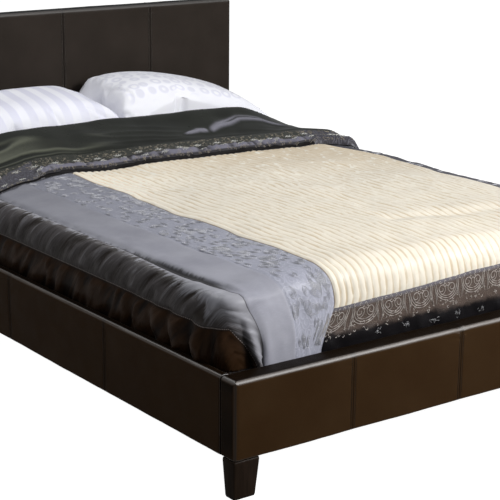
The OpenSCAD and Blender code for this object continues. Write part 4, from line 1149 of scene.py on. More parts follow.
def make_turn_back():
    """The head end of the comforter, folded back over itself: dark satin with a puffed, embroidered hem."""
    over = DROP_SIDE - 0.012
    columns = np.concatenate([np.linspace(-RIDGE_X - over, -RIDGE_X, 34, endpoint=False),
                              np.linspace(-RIDGE_X, RIDGE_X, 262, endpoint=False),
                              np.linspace(RIDGE_X, RIDGE_X + over, 34)])
    share = np.concatenate([np.linspace(0, 0.26, 22, endpoint=False) ** 1.15, np.linspace(0.26, 1, 62)])
    share[:22] *= 0.26 / share[21] * 21 / 22
    hem = fold_hem(columns)
    depth = FOLD_Y - hem
    u = np.broadcast_to(columns, (len(share), len(columns)))
    d = share[:, None] * depth
    w = hem + d
    base = drape(u, w)
    normal = normals_of(calm(base, 3))
    a = np.maximum(np.abs(u) - RIDGE_X, 0)
    thick, glint = roll_height(u, d, depth)
    thick = (thick * (1 - 0.45 * smooth_step(0, 0.05, a))
             + 0.3 * satin_gathers(w, a, (0.0, MID_SEAM))[0] * smooth_step(0, 0.02, a))
    thick = np.maximum(thick, 0.0024) * np.where(share[:, None] == 0, 0.6, 1)
    outer = base + normal * (thick + 0.0012)[..., None]
    inner = base + normal * 0.0012
    keep_c = sorted({*range(0, len(columns) - 1, 3), len(columns) - 1})
    keep_r = sorted({*range(0, len(share) - 1, 3), len(share) - 1})
    um, dm, am = middle(u), middle(d), middle(a)
    side_piece = (um < -0.455) & (dm < 0.105 + 0.3 * (um + 0.455))
    regions = [("olive", EVERYWHERE), ("olive_band", (dm > PUFF) & (dm < SPRIG_END)),
               ("hem_satin", dm <= PUFF),
               ("hem_edge", dm <= EDGING), ("embroidery_dark", side_piece | ((um > 0.560) & (dm < 0.100))),
               ("drop", (am > 0.010) & (um < 0)), ("embroidery_dark", (am > 0.010) & (um > 0))]
    make_quilt("turned_back_quilt", outer, inner, keep_r, keep_c, regions, (u, w, d), (glint,))
    turn_back_sprigs(outer, columns, share, depth)


def turn_back_sprigs(outer, columns, share, depth):
    """Sprigs along the turned-back end, with a fine scroll between, and the piping of its left corner."""
    skin = Skin(outer, columns, share)
    flowers, scrolls = [], []
    t = np.linspace(0, 1, 14)
    random = np.random.default_rng(33)
    for k, c in enumerate(np.arange(-0.60, 0.66, 0.073)):
        here = np.interp(c, columns, depth)
        for row, size in ((0.068, 0.0165), (0.030, 0.0150)):
            for angle in np.linspace(0, 2 * np.pi, 10)[:-1] + 0.2 * k:
                reach = size * (0.12 + 0.88 * t) * (0.75 + 0.35 * np.cos(2 * angle))
                bend = angle + 0.5 * t
                flowers.append(np.stack([c + 0.004 * np.sin(3.1 * k) + reach * np.cos(bend),
                                         (row + reach * np.sin(bend) * 0.9) / here], axis=-1))
        for _ in range(34):
            low = random.uniform() < 0.25
            u0 = c + random.uniform(-0.037, 0.037)
            d0 = random.uniform(0.006, 0.016) if low else random.uniform(0.056, 0.104)
            size, start, way = random.uniform(0.0025, 0.0055), random.uniform(0, 6), random.choice([-1, 1])
            angle = start + way * t * 7
            scrolls.append(np.stack([u0 + size * (1 - 0.8 * t) * np.cos(angle),
                                     (d0 + size * (1 - 0.8 * t) * np.sin(angle)) / here], axis=-1))
    skin.threads("turned_back_sprigs", np.array(flowers), 0.0009, "sprig_thread", 0.0005)
    skin.threads("turned_back_scrolls", np.array(scrolls), 0.00045, "gold_thread", 0.0003)
    u = np.linspace(-0.85, -0.40, 160)
    edge = np.stack([u, 0.012 + 0 * u], axis=-1)[None]
    skin.threads("turned_back_piping", edge, 0.0034, "hem_edge", 0.0008, 8)


# ---------- pillows and mattress ----------

PILLOWS = {
    "lower_left_pillow": (0.42, 0.30, 0.0, 0.120, "striped", 41, 0.0, 0.0),
    "lower_right_pillow": (0.42, 0.30, 0.0, 0.120, "white_cotton", 42, 0.0, 0.0),
    "upper_left_pillow": (None, 0.36, 0.10, 0.124, "striped", 43, -0.034, 0.0),
    "upper_right_pillow": (None, 0.36, 0.10, 0.140, "white_cotton", 44, 0.075, 0.8),
}


BAG_COLUMNS, BAG_ROWS, BAG_FRAMES = 56, 44, 26       # of a pillow's simulation


def inflate(width, depth, seed):
    """A sewn bag of two layers, filled by a pressure simulation. Returns its places, top and bottom."""
    x, y = np.meshgrid(np.linspace(-width / 2, width / 2, BAG_COLUMNS + 1),
                       np.linspace(-depth / 2, depth / 2, BAG_ROWS + 1))
    noise = Noise(seed)
    edge = np.minimum(np.minimum(x + width / 2, width / 2 - x), np.minimum(y + depth / 2, depth / 2 - y))
    lift = (0.004 + 0.020 * smooth_step(0, 0.08, edge)
            + 0.004 * noise(x / 0.07, y / 0.06) * smooth_step(0, 0.03, edge))
    top = np.stack([x, y, lift], axis=-1).reshape(-1, 3)
    n = len(top)
    inside = (edge > 1e-6).ravel()
    number = np.where(inside, np.cumsum(inside) - 1 + n, np.arange(n))
    top[~inside, 2] = 0
    bottom = top[inside] * (1, 1, -1)
    quads = grid_faces(BAG_ROWS + 1, BAG_COLUMNS + 1)
    mesh = bpy.data.meshes.new("bag")
    mesh.from_pydata(np.concatenate([top, bottom]).tolist(), [],
                     quads.tolist() + number[quads[:, ::-1]].tolist())
    mesh.update()
    bag = bpy.data.objects.new("bag", mesh)
    bpy.context.scene.collection.objects.link(bag)
    places = np.concatenate([top, bottom])
    cloth = bag.modifiers.new("cloth", "CLOTH")
    settings = cloth.settings
    settings.quality = 6
    settings.mass = 0.25
    settings.tension_stiffness = settings.compression_stiffness = 12
    settings.shear_stiffness = 6
    settings.bending_stiffness = 0.35
    settings.use_pressure = True
    settings.uniform_pressure_force = 9
    settings.effector_weights.gravity = 0
    cloth.collision_settings.use_collision = False
    cloth.point_cache.frame_start, cloth.point_cache.frame_end = 1, BAG_FRAMES
    for frame_number in range(1, BAG_FRAMES + 1):
        bpy.context.scene.frame_set(frame_number)
    graph = bpy.context.evaluated_depsgraph_get()
    done = bag.evaluated_get(graph).to_mesh()
    places = np.empty(len(done.vertices) * 3)
    done.vertices.foreach_get("co", places)
    places = places.reshape(-1, 3)
    bag.evaluated_get(graph).to_mesh_clear()
    bpy.context.scene.frame_set(1)
    bpy.data.objects.remove(bag)
    return places, inside, number, quads, np.stack([x.ravel(), y.ravel()], axis=-1)


def droop(u, v):
    return np.maximum(np.abs(u), np.abs(v)) ** 4


def plump(thick, u, v):
    return 0.002 + thick / 2 * (1 - np.abs(u) ** 3) ** 0.6 * (1 - np.abs(v) ** 2.4) ** 0.6


def pillow_rest(node, x, y):
    """Height of what an upper pillow lies on."""
    low, high = (np.array(v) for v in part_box(node))
    u = (x - (low[0] + high[0]) / 2) / ((high[0] - low[0]) / 2)
    v = (y - (low[1] + high[1]) / 2) / ((high[1] - low[1]) / 2)
    inside = (np.abs(u) <= 1) & (np.abs(v) <= 1)
    u, v = np.clip(u, -1, 1), np.clip(v, -1, 1)
    z = low[2] + 0.120 * (0.42 - 0.3 * droop(u, v)) + plump(0.120, u, v)
    return np.where(inside, z, low[2])


def make_pillow(node, mid_share, droop_share, slope, thick, cloth, seed, lean, roundness):
    """A pillow: the simulated bag, laid in the CAD pillow's place and resting on what is under it."""
    low, high = (np.array(v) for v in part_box(node))
    size, centre = (high - low), (low + high) / 2
    places, inside, number, quads, flat = inflate(size[0] + 0.035, size[1] + 0.035, seed)
    spread = np.abs(places).max(axis=0)
    u, v = places[:, 0] / spread[0], places[:, 1] / spread[1]
    x, y = centre[0] + u * size[0] / 2, centre[1] + v * size[1] / 2
    z = places[:, 2] / spread[2] * thick / 2
    crowned = thick / 2 * ((1 - np.abs(u) ** 2.3) * (1 - np.abs(v) ** 2.1)) ** 0.62
    share = roundness * smooth_step(0.80, -0.20, u)
    z = z * (1 - share) + np.sign(z) * crowned * share
    floor = BED_TOP + 0.0008
    if mid_share is not None:
        mid = floor + thick * (mid_share - droop_share * droop(u, v))
        rest = np.full_like(x, floor)
    else:
        crown = floor + 0.92 * 0.120 + droop_share * thick + max(lean, 0) * 0.13 + min(lean, 0) * 0.2
        mid = crown + slope * v * size[1] / 2 + lean * (0.30 - smooth_step(-1, 1.1, u)) \
            - droop_share * thick * np.maximum(np.abs(v) ** 4,
                                               u ** 4 * (1 - 0.6 * smooth_step(0, 0.8, -np.sign(lean) * u)))
        rest = pillow_rest(node.replace("upper", "lower"), x, y) + 0.0015
        fall = share * np.maximum(smooth_step(0.45, 1.0, -v), 0.7 * smooth_step(0.80, 1.0, -u))
        mid = mid - fall * np.maximum(mid - rest - 0.10 * thick, 0)
    sag = smooth_step(1.0, 0.86, np.maximum(np.abs(u), np.abs(v)))
    z = np.where(z < 0, (mid + z) * (1 - sag) + np.minimum(mid + z, rest) * sag, mid + z)
    z = np.maximum(z, rest + np.where(places[:, 2] > 0, 0.003, 0.0))
    points = np.stack([x, y, z], axis=-1)
    faces = quads.tolist() + number[quads[:, ::-1]].tolist()
    inset = (np.abs(flat).max(axis=0) - np.abs(flat)).min(axis=1, keepdims=True)
    marks = np.concatenate([flat, inset], axis=1)
    marks = np.concatenate([marks, marks[inside]])
    made = make_piece(node.replace("pillow", "pillowcase"), points, faces, [MATERIALS[cloth]],
                      {"cloth": marks})
    subdivide(made)
    crumple(made, PILLOW_CREASES.get(node, []))
    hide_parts(node)


PILLOW_CREASES = {
    "upper_right_pillow": [((-0.030, 0.845), (-0.005, 0.735)), ((-0.052, 0.700), (0.010, 0.655)),
                           ((0.004, 0.690), (-0.016, 0.585)), ((-0.050, 0.640), (-0.008, 0.610)),
                           ((0.020, 0.640), (0.062, 0.590)), ((0.045, 0.760), (0.075, 0.660))],
    "upper_left_pillow": [((-0.060, 0.600), (-0.120, 0.640)), ((-0.220, 0.590), (-0.250, 0.650))],
}


CREASE_WIDTH, CREASE_DEPTH = 0.0065, 0.0050


def crumple(made, creases):
    """Sinks creases with a raised lip into the upper side of a pillow."""
    mesh = made.data
    points, normals = np.empty(len(mesh.vertices) * 3), np.empty(len(mesh.vertices) * 3)
    mesh.vertices.foreach_get("co", points)
    mesh.vertices.foreach_get("normal", normals)
    points, normals = points.reshape(-1, 3), normals.reshape(-1, 3)
    upper = smooth_step(0.05, 0.45, normals[:, 2])[:, None]
    for a, b in creases:
        beside = np.array([a[1] - b[1], b[0] - a[0]]) / math.dist(a, b) * CREASE_WIDTH * 1.5
        dent = line_dent(points[:, 0], points[:, 1], a, b, CREASE_WIDTH, CREASE_DEPTH)
        lip = line_dent(points[:, 0], points[:, 1], a + beside, b + beside, CREASE_WIDTH, 0.5 * CREASE_DEPTH)
        points += normals * (lip - dent)[:, None] * upper
    if creases:
        x, y, z = points.T
        end = (smooth_step(-0.62, -0.90, (x - x.mean()) / np.abs(x - x.mean()).max())
               * smooth_step(-0.5, 0.2, normals[:, 2]))
        pleats = (crested(SLOW((y + 0.9 * z) / 0.040 + 3, (z - 0.5 * y) / 0.060 + 1))
                  + 0.5 * crested(SLOW((y - z) / 0.024, z / 0.04 + 5)))
        points += normals * (0.0065 * end * (pleats - 0.7))[:, None]
    mesh.vertices.foreach_set("co", points.ravel())
    mesh.update()


def subdivide(made):
    """One step of smoothing subdivision, applied."""
    modifier = made.modifiers.new("smooth", "SUBSURF")
    modifier.levels = modifier.render_levels = 1
    graph = bpy.context.evaluated_depsgraph_get()
    mesh = bpy.data.meshes.new_from_object(made.evaluated_get(graph), preserve_all_data_layers=True,
                                           depsgraph=graph)
    made.modifiers.clear()
    made.data = mesh


def make_mattress():
    """The mattress: a quilted top and bottom between piped edges, with a plain border."""
    low, high = (np.array(v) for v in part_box("mattress"))
    size = high - low
    axes = [np.linspace(low[0], high[0], 110), np.linspace(low[1], high[1], 150),
            np.linspace(low[2], high[2], 24)]
    points, faces = box_skin(axes)
    corner, edge = MATTRESS_CORNER, MATTRESS_EDGE
    inner = np.clip(points, low + (corner, corner, edge), high - (corner, corner, edge))
    over = points - inner
    plan = np.maximum(np.linalg.norm(over[:, :2], axis=1), 1e-9)
    reach = np.clip(np.maximum(np.abs(over[:, 0]), np.abs(over[:, 1])), 0, corner)
    rim = np.clip(reach - (corner - edge), 0, edge) / edge
    lift = np.abs(over[:, 2]) / edge
    length = np.maximum(np.hypot(rim, lift), 1e-9)
    square = np.maximum(rim, lift)
    round_rim, round_lift = rim / length * square, lift / length * square
    radial = np.where(reach > corner - edge, corner - edge + round_rim * edge, reach)
    place = inner + np.stack([over[:, 0] / plan * radial, over[:, 1] / plan * radial,
                              np.sign(over[:, 2]) * round_lift * edge], axis=-1)
    flat = np.abs(place[:, 2] - np.where(place[:, 2] > low[2] + size[2] / 2, high[2], low[2])) < 1e-6
    quilt = -0.0035 * (1 - np.abs(np.sin((place[:, 0] + place[:, 1]) / 0.16 * np.pi)) ** 0.35) \
        - 0.0035 * (1 - np.abs(np.sin((place[:, 0] - place[:, 1]) / 0.16 * np.pi)) ** 0.35)
    place[:, 2] += np.where(flat, quilt * np.sign(place[:, 2] - low[2] - size[2] / 2), 0)
    made = make_piece("mattress_ticking", place, faces, [MATERIALS["ticking"]])
    weld(made)
    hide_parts("mattress")
    pipings = []
    turn = np.linspace(0, 2 * np.pi, 241)
    for z in (low[2] + 0.012, high[2] - 0.012):
        c, s = np.cos(turn), np.sin(turn)
        half = size[:2] / 2 - corner
        centre = (low + high)[:2] / 2
        x = centre[0] + np.sign(np.round(c, 9)) * half[0] + c * (corner - 0.001)
        y = centre[1] + np.sign(np.round(s, 9)) * half[1] + s * (corner - 0.001)
        pipings.append(np.stack([x, y, np.full_like(x, z)], axis=-1))
    points, faces = tubes(np.array(pipings), np.broadcast_to((0.0, 0, 1), (2, 241, 3)), 0.0022, 8, 1.0, False)
    make_piece("mattress_piping", points, faces, [MATERIALS["ticking"]])


# ---------- feet ----------

FOOT_TAPER = (0.013, 0.013)     # how much narrower and shallower a foot is at the floor


def make_foot(node):
    """A tapered foot with softly broken edges."""
    low, high = (np.array(v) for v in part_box(node))
    steps, sides = 20, 12
    verts, faces = [], []
    left, front = node.split("_")[1] == "left", node.startswith("front")
    outer_x = low[0] if left else high[0]
    outer_y = low[1] if front else high[1]
    taper_x, taper_y = FOOT_TAPER
    for k in range(steps + 1):
        share = k / steps
        z = low[2] + (high[2] - low[2]) * share
        wide = (high[0] - low[0]) - taper_x * (1 - share)
        deep = (high[1] - low[1]) - taper_y * (1 - share)
        cx = outer_x + (1 if left else -1) * wide / 2
        cy = outer_y + (1 if front else -1) * deep / 2
        soft = 0.003
        if k in (0, steps):
            wide, deep = wide - 0.002, deep - 0.002
        for corner in range(4):
            sx, sy = ((1, 1), (-1, 1), (-1, -1), (1, -1))[corner]
            for m in range(sides // 4 + 1):
                angle = math.pi / 2 * (corner + m / (sides // 4))
                verts.append((cx + sx * (wide / 2 - soft) + soft * math.cos(angle),
                              cy + sy * (deep / 2 - soft) + soft * math.sin(angle), z))
    ring = 4 * (sides // 4 + 1)
    for k in range(steps):
        for m in range(ring):
            a, b = k * ring + m, k * ring + (m + 1) % ring
            faces.append((a, b, b + ring, a + ring))
    faces.append(tuple(range(ring))[::-1])
    faces.append(tuple(range(steps * ring, steps * ring + ring)))
    made = make_piece(node.replace("_foot", "_turned_foot"), verts, faces, [MATERIALS["foot"]])
    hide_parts(node)


# ---------- stage and light ----------

MIRRORED = 0.12           # how much of the white surround shows in glossy surfaces
FLOOR_HALF, FLOOR_Z = 30, -0.0005
KEY = ((1.4, -2.9, 2.4), 1.2, 114.0)          # place, size and power of the key light
TOP = ((-1.1, 1.3, 3.0), 0.9, 26.0)
SURROUND = (0.93, 0.96, 1.0, 1)


def seen_white(s):
    """How white the surround is to a ray: all white to the camera and through glass, partly in gloss."""
    path = s.add("LightPath").outputs
    mirrored = s.times(path["Is Glossy Ray"], MIRRORED)
    return s.math("MAXIMUM", path["Is Camera Ray"], s.math("MAXIMUM", mirrored, path["Is Transmission Ray"]))


def make_stage():
    """A pale floor, white to the camera, that still takes the bed's shadow."""
    mesh = bpy.data.meshes.new("floor")
    corners = [(x * FLOOR_HALF, y * FLOOR_HALF, FLOOR_Z) for x, y in ((-1, -1), (1, -1), (1, 1), (-1, 1))]
    mesh.from_pydata(corners, [], [(0, 1, 2, 3)])
    floor = bpy.data.objects.new("floor", mesh)
    bpy.context.scene.collection.objects.link(floor)
    s = Shader("floor")
    seen = seen_white(s)
    paint = s.add("BsdfDiffuse", {"Color": (0.34, 0.33, 0.32, 1)}).outputs[0]
    white = s.add("Emission", {"Color": (1, 1, 1, 1), "Strength": 1.0}).outputs[0]
    lit = s.add("AddShader", {0: paint, 1: white}).outputs[0]
    s.tree.links.new(s.add("MixShader", {0: seen, 1: paint, 2: lit}).outputs[0], s.output.inputs[0])
    mesh.materials.append(s.owner)


def make_lights():
    """A key light from the upper right of the foot end, a faint overhead light, and a dim surround."""
    for name, (place, size, power) in (("key", KEY), ("top", TOP)):
        data = bpy.data.lights.new(name, "AREA")
        data.shape = "DISK"
        data.size = size
        data.energy = power
        lamp = bpy.data.objects.new(name, data)
        bpy.context.scene.collection.objects.link(lamp)
        lamp.location = place
        aim = Vector((0, -0.2, 0.4)) - Vector(place)
        lamp.rotation_euler = aim.to_track_quat("-Z", "Y").to_euler()
    s = Shader(bpy.data.worlds.new("studio"))
    bpy.context.scene.world = s.owner
    x, y, z = s.split(s.add("TexCoord").outputs["Generated"])
    side = s.times(s.band(x, -0.6, 0.7), 0.10)
    face = s.times(s.band(y, 0.6, -0.7), 0.08)
    level = s.plus(s.plus(s.plus(side, face), s.times(s.band(z, 0.0, 1.0), 0.20)), 0.05)
    dim = s.add("Background", {0: SURROUND, 1: level}).outputs[0]
    white = s.add("Background", {0: (1, 1, 1, 1), 1: 1.0}).outputs[0]
    mixed = s.add("MixShader", {0: seen_white(s), 1: dim, 2: white}).outputs[0]
    s.tree.links.new(mixed, s.output.inputs[0])
    bpy.context.scene.view_settings.view_transform = "Standard"


# ---------- cloth materials ----------

def cloth_place(s):
    """The cloth coordinates: across, along, and down from the ridge or in from the hem."""
    return s.split(s.attribute("cloth").outputs["Vector"])


def painted_light_towards_foot(s, color, w):
    """Painted light: lifts a colour towards the foot end, nearer the key light, most of all on the foot drop.
    """
    lift = s.plus(s.band(w, 0.28, -0.62, 0.78, 1.14, False), s.band(w, -0.90, -1.0, 0.0, 0.24))
    return s.scaled(color, lift)


def satin(name, base, shade, rough=0.36, slub=0.25, specular=0.5, groove_shade_and_foot_light=False, glint=None, left_glint=None):
    """Satin: a smooth face with fine slubs along the cloth; on request, painted shade in the ridge's groove
    with painted light towards the foot, and painted highlights on its folds.
    """
    s = Shader(name)
    u, w, d = cloth_place(s)
    fine = s.noise(s.vector(s.times(u, 55.0), s.times(w, 900.0), d), 1.0, 2)
    cloud = s.noise(s.vector(u, w, d), 9, 3)
    color = s.mix(s.band(cloud, 0.3, 0.72), base, shade)
    color = s.mix(s.band(fine, 0.5, 0.8, 0.0, slub), color, tuple(min(1.0, c * 1.6) for c in base))
    if groove_shade_and_foot_light:
        color = painted_light_towards_foot(s, color, w)
        # Painted shade: a dark band in the ridge's groove, wider and ragged towards the foot.
        past = s.minus(s.size(u), RIDGE_X)
        wide = s.times(s.band(w, -0.36, -0.66, 0.0, -0.010), s.band(w, -0.90, -0.84))
        spikes = s.noise(s.vector(s.times(u, 8.0), s.times(w, 62.0)), 1.0, 2)
        spikes = s.times(s.band(spikes, 0.40, 0.80, 0.0, 0.005), s.band(w, -0.86, -0.78))
        wide = s.minus(s.minus(wide, 0.0045), spikes)
        color = s.mix(s.band(past, wide, s.plus(wide, 0.010), 0.0, 0.92), color, (0.012, 0.010, 0.010))
    if glint:
        fold = s.split(s.attribute("fold").outputs["Vector"])[0]
        if left_glint:
            glint = s.mix(s.band(u, -0.25, 0.10), left_glint, glint)
        # Painted highlights on the folds, where the fold attribute is high.
        color = s.mix(s.band(fold, 0.05, 0.95, 0.0, 1.0), color, glint)
    return s.finish(color, s.band(cloud, 0.3, 0.7, rough - 0.04, rough + 0.06), s.bump(fine, 0.10, 0.0002),
                    specular_ior_level=specular, anisotropic=0.35, sheen_weight=0.08, sheen_roughness=0.35)


def gathered(name, valley_shade, base, crest, welt, rough, specular, fine=64.0, relief=0.55):
    """Satin gathered between seams, with painted shade in its valleys, corner folds and ridge groove and down
    the drop, painted highlights on its crests and on a welt along the ridge, and stitched seams.
    """
    s = Shader(name)
    u, w, d = cloth_place(s)
    fold, deep, _ = s.split(s.attribute("fold").outputs["Vector"])
    past = s.minus(s.size(u), RIDGE_X)
    lean = s.minus(w, s.times(past, 0.8))
    feather = s.noise(s.vector(s.times(lean, fine), s.times(past, 11.0)),
                      1.0, 4, 0.6, 0.5)
    calm_end = s.band(w, -0.90, -0.80, 0.12, 1.0)
    fold = s.plus(fold, s.times(s.band(feather, 0.25, 0.75, -0.45, 0.45), calm_end))
    # Painted light: valleys painted dark as shade, crests painted pale as highlights, and painted shade
    # darkening the colour down towards the mid seam.
    color = s.mix(s.band(fold, -0.75, 0.10), valley_shade, base)
    color = s.mix(s.band(fold, 0.20, 0.95, 0.0, 1.0), color, crest)
    color = s.mix(s.band(d, 0.015, MID_SEAM, 0.0, 0.55), color, valley_shade)
    # A painted highlight: the welt along the ridge, reaching furthest near the foot corner.
    reach = s.plus(s.band(w, -0.84, -0.60, 0.056, 0.013), s.band(w, -0.86, -0.90, 0.0, 0.052))
    torn = s.plus(d, s.band(feather, 0.2, 0.8, 0.022, -0.022))
    color = s.mix(s.band(torn, s.times(reach, 0.35), reach, 0.85, 0.0), color, welt)
    # Painted shade deep in the corner folds and along the ridge seam's groove.
    color = s.mix(s.times(deep, 0.85), color, (0.008, 0.006, 0.005))
    color = s.mix(s.band(s.size(past), 0.0010, 0.0030, 0.9, 0.0), color, (0.012, 0.010, 0.010))
    seam = s.size(s.minus(d, MID_SEAM))
    dash = s.band(s.math("SINE", s.times(w, 900.0)), -0.6, 0.0)
    color = s.mix(s.band(seam, 0.0025, 0.0060, 0.6, 0.0), color, (0.012, 0.009, 0.008))
    color = s.mix(s.times(dash, s.band(seam, 0.0008, 0.0018, 0.9, 0.0)), color, (0.36, 0.31, 0.29))
    normal = s.bump(s.times(feather, calm_end), relief, 0.006)
    return s.finish(color, rough, normal, specular_ior_level=specular, anisotropic=0.35, sheen_weight=0.05,
                    sheen_roughness=0.35)


def tucked(name, crest, groove):
    """Cream satin sewn into narrow tucks: pale crests and tan grooves partly deepened by painted shade, with
    painted light and shade across the panel and painted glints along the tucks.
    """
    s = Shader(name)
    u, w, _ = cloth_place(s)
    phase = s.math("FRACT", s.times(s.minus(u, CREAM_LEFT), RIBS / (CREAM_RIGHT - CREAM_LEFT)))
    away = s.size(s.minus(phase, 0.5))
    cloth = s.vector(u, w)
    cloud = s.noise(cloth, 5.5, 3)
    wide = s.band(s.noise(s.vector(s.times(u, 6.0), w), 16, 3), 0.35, 0.65, 0.22, 0.36)
    # The tan in the grooves is partly the tucks' own colour and partly painted shade.
    color = s.mix(s.times(s.band(s.minus(away, wide), 0.0, 0.20), 0.72), crest, groove)
    color = s.mix(s.band(cloud, 0.35, 0.75, 0.0, 0.35), color, tuple(c * 0.88 for c in crest))
    # Painted light: lighter towards the head's left side.
    color = s.scaled(color, s.band(s.minus(w, u), 0.0, 0.55, 1.0, 1.22))
    # Painted shade: tanner and darker towards the head's right, where the light falls off.
    far = s.plus(w, s.times(u, 0.55))
    color = s.mix(s.band(far, -0.10, 0.48, 0.0, 0.72), color, (0.79, 0.65, 0.455))
    # Painted glints along the tucks as pale dashes, with painted shade as tan dashes between them.
    glints = s.noise(s.vector(s.times(u, 1.25 * RIBS), s.times(w, 26.0)), 1.0, 2)
    lively = s.band(far, -0.45, 0.15, 0.35, 1.0)
    color = s.mix(s.times(s.band(glints, 0.56, 0.66, 0.0, 0.90), lively), color, (1.0, 0.95, 0.83))
    color = s.mix(s.times(s.band(glints, 0.44, 0.30, 0.0, 0.30), lively), color, groove)
    # Painted shade: darker to the right and towards the foot, holding back where the key light is strongest.
    painted_shade_right_and_foot = s.times(s.band(u, 0.05, 0.58, 1.0, 0.935), s.band(w, -0.50, -0.85, 1.0, 0.96))
    color = s.scaled(color, painted_shade_right_and_foot)
    edge = s.math("MINIMUM", s.minus(u, CREAM_LEFT), s.minus(CREAM_RIGHT, u))
    color = s.mix(s.band(edge, 0.0005, 0.0028, 0.9, 0.0), color, (0.08, 0.06, 0.05))
    thread = s.math("SINE", s.times(w, 2600.0))
    stitch = s.times(s.band(away, 0.44, 0.49), s.band(thread, -0.2, 0.4))
    height = s.plus(s.times(s.noise(cloth, 320, 2), 0.5), stitch)
    normal = s.bump(height, 0.2, 0.0004, s.bump(glints, 0.35, 0.0035))
    return s.finish(color, s.band(cloud, 0.3, 0.7, 0.40, 0.50), normal,
                    specular_ior_level=0.35, sheen_weight=0.05)


def embroidered(name, ground, thread, pit_shade, scale, share=0.55, piped=False):
    """Cloth worked all over with small spiral scrolls of thread, paler along the thread partly by its own
    colour and partly by painted sheen, with painted shade where it is drawn in.
    """
    s = Shader(name)
    u, w, d = cloth_place(s)
    flat = s.vector(u, w)
    warped = s.add("VectorMath", {
        0: flat, 1: s.scaled(s.add("TexNoise", {"Vector": flat, "Scale": 30.0}).outputs["Color"], 0.010),
    }, operation="ADD").outputs[0]
    cells = s.add("TexVoronoi", {"Vector": warped, "Scale": scale}, voronoi_dimensions="2D")
    away = s.add("VectorMath", {0: warped, 1: cells.outputs["Position"]}, operation="SUBTRACT").outputs[0]
    ax, ay, _ = s.split(away)
    turn = s.times(s.math("ARCTAN2", ay, ax), 1 / (2 * math.pi))
    reach = s.times(s.add("VectorMath", {0: away}, operation="LENGTH").outputs["Value"], scale * 3.4)
    arm = s.size(s.minus(s.math("FRACT", s.plus(reach, turn)), 0.5))
    line = s.band(arm, 0.22, 0.08)
    edge = s.band(s.voronoi(warped, scale, "DISTANCE_TO_EDGE"), 0.0, 0.05, 1.0, 0.0)
    marks = s.band(s.noise(flat, 55, 2), 0.40, 0.62, 0.35, 1.0)
    specks = s.band(s.noise(flat, 170, 2), 0.60, 0.70)
    worked = s.times(line, marks)
    # The thread lines are partly the thread's own paler colour and partly painted sheen.
    color = s.mix(s.times(worked, share), ground, thread)
    # Painted shade in the pits where the cloth is drawn in, at the cells' edges and in small specks.
    color = s.mix(s.times(s.math("MAXIMUM", s.times(edge, 0.3), specks), 0.24), color, pit_shade)
    if piped:
        color = s.mix(s.band(d, 0.004, 0.014, 0.75, 0.0), color, (0.19, 0.19, 0.225))
        down = s.minus(s.times(s.noise(flat, 26, 2), 0.026), w)
        hem = s.band(down, 0.218 - RIDGE_Y, 0.238 - RIDGE_Y)
        color = s.mix(hem, color, (0.009, 0.008, 0.009))
        gloss = s.band(hem, 0.0, 1.0, 0.3, 0.05)
    else:
        color = painted_light_towards_foot(s, color, w)
        gloss = 0.3
    height = s.minus(worked, s.times(edge, 0.3))
    return s.finish(color, 0.42, s.bump(height, 0.32, 0.0010), specular_ior_level=gloss)


def yarn(name, color, rough=0.38):
    """Lustrous embroidery thread."""
    s = Shader(name)
    at = s.place()
    ply = s.noise(at, 1500, 2)
    return s.finish(s.mix(s.band(ply, 0.35, 0.7, 0.0, 0.5), color, tuple(c * 0.7 for c in color)), rough,
                    s.bump(ply, 0.2, 0.0002), specular_ior_level=0.5)


def pillow_cloth(name, ground, stripe, pitch=0.0):
    """Cotton sateen, with broad satin stripes if a pitch is given and faint rings if not, and painted light
    at the front.
    """
    s = Shader(name)
    u, w, inset = cloth_place(s)
    flat = s.vector(u, w)
    weave = s.noise(flat, 900, 2)
    cloud = s.noise(flat, 6, 3)
    if pitch:
        phase = s.math("PINGPONG", s.plus(u, 3.0), pitch / 2)
        lines = s.band(phase, pitch * 0.20, pitch * 0.30)
    else:
        rings = s.size(s.minus(s.voronoi(flat, 21, randomness=0.35), 0.34))
        lines = s.times(s.band(rings, 0.05, 0.16, 1.0, 0.0), s.band(inset, 0.045, 0.085))
    # Painted light: towards the front the pattern fades and the colour lifts, against the shade there.
    lines = s.times(lines, s.band(w, -0.20, -0.13, 0.45, 1.0))
    color = s.mix(lines, ground, stripe)
    color = s.scaled(color, s.band(w, 0.02, -0.15, 1.0, 1.11))
    color = s.mix(s.band(cloud, 0.4, 0.75, 0.0, 0.3), color, tuple(c * 0.95 for c in stripe))
    return s.finish(color, s.band(lines, 0.0, 1.0, 0.62, 0.45), s.bump(weave, 0.12, 0.0002),
                    specular_ior_level=0.3, sheen_weight=0.10)


def ticking(name):
    """White mattress ticking with a small woven figure."""
    s = Shader(name)
    at = s.place()
    figure = s.voronoi(at, 55, "SMOOTH_F1")
    weave = s.noise(at, 1100, 2)
    color = s.mix(s.band(figure, 0.25, 0.5), (0.86, 0.86, 0.85), (0.74, 0.75, 0.77))
    return s.finish(color, 0.8, s.bump(s.plus(figure, s.times(weave, 0.3)), 0.25, 0.0006),
                    specular_ior_level=0.2, sheen_weight=0.1)


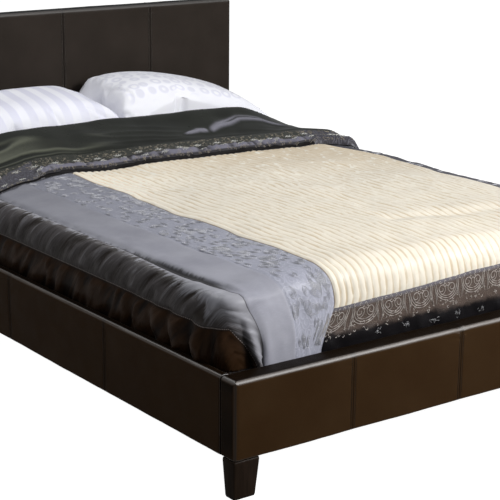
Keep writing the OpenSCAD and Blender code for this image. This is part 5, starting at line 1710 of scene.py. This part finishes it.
MATERIALS.update({
    "cream": tucked("cream_tucks", (0.93, 0.855, 0.720), (0.60, 0.455, 0.265)),
    "embroidery": embroidered("embroidered_lavender", (0.315, 0.32, 0.378), (0.47, 0.47, 0.53),
                              (0.17, 0.17, 0.21), 30.0,
                              0.42),
    # A shaded copy of the lavender embroidery: painted shade for the band that faces away from the light.
    "embroidery_dark": embroidered("embroidered_side", (0.072, 0.068, 0.080), (0.25, 0.25, 0.30),
                                   (0.018, 0.017, 0.022), 44.0),
    "lavender": satin("lavender_satin", (0.320, 0.320, 0.362), (0.272, 0.272, 0.314), 0.50, 0.25, 0.25, True),
    # Its valley colour is painted shade; its crest and welt colours are painted highlights.
    "drop": gathered("graphite_satin", (0.024, 0.017, 0.013), (0.116, 0.105, 0.106), (0.32, 0.31, 0.33),
                     (0.42, 0.42, 0.46), 0.40, 0.20),
    # A darker copy of the drop satin for the lower channel: painted shade, with a brown tint that is painted
    # reflection of the leather rail.
    "drop_low": gathered("umber_satin", (0.010, 0.005, 0.003), (0.072, 0.034, 0.014), (0.150, 0.088, 0.055),
                         (0.20, 0.17, 0.15), 0.40, 0.08, 38.0, 0.4),
    # The border's dark brown ground stands in for the embroidered cloth in shade, with painted reflection of
    # the brown leather foot board.
    "border": embroidered("embroidered_border", (0.088, 0.062, 0.050), (0.20, 0.160, 0.135),
                          (0.02, 0.015, 0.012), 60.0,
                          piped=True),
    "lining": woven("quilt_lining", (0.10, 0.10, 0.105), (0.085, 0.085, 0.09)),
    "olive": satin("olive_black_satin", (0.022, 0.0235, 0.0195), (0.016, 0.017, 0.0145), 0.30, 0.12, 0.13,
                   glint=(0.205, 0.200, 0.235), left_glint=(0.125, 0.130, 0.098)),
    "olive_band": embroidered("olive_sprig_band", (0.034, 0.036, 0.030), (0.16, 0.155, 0.12),
                              (0.012, 0.012, 0.011), 60.0, 0.5),
    "hem_satin": satin("violet_grey_satin", (0.032, 0.029, 0.033), (0.022, 0.020, 0.022), 0.36, 0.15, 0.30,
                       glint=(0.180, 0.175, 0.218)),
    "hem_edge": satin("edging_satin", (0.010, 0.009, 0.009), (0.007, 0.006, 0.006), 0.42, 0.1, 0.04),
    "sprig_thread": yarn("pale_sprig_thread", (0.62, 0.62, 0.58)),
    "silver_thread": yarn("silver_thread", (0.56, 0.56, 0.60)),
    "gold_thread": yarn("pale_gold_thread", (0.40, 0.35, 0.27)),
    "white_thread": yarn("white_thread", (0.60, 0.60, 0.62)),
    "border_thread": yarn("ash_thread", (0.58, 0.53, 0.49)),
    "pale_thread": yarn("grey_brown_thread", (0.17, 0.15, 0.13), 0.5),
    "thread": yarn("brown_thread", (0.052, 0.034, 0.022), 0.5),
    "striped": pillow_cloth("striped_sateen", (0.90, 0.90, 0.955), (0.77, 0.77, 0.88), 0.062),
    "white_cotton": pillow_cloth("white_sateen", (0.90, 0.90, 0.945), (0.76, 0.76, 0.84)),
    "ticking": ticking("white_ticking"),
})

# ---------- assembly ----------

make_camera()
make_stage()
make_lights()
dress_nodes()
make_upholstery()
for foot in ("front_left_foot", "front_right_foot", "rear_left_foot", "rear_right_foot"):
    make_foot(foot)
make_mattress()
quilt, cloth_rows = make_comforter()
comforter_threads(quilt)
border_threads(quilt, cloth_rows)
make_turn_back()
for node, facts in PILLOWS.items():
    make_pillow(node, *facts)
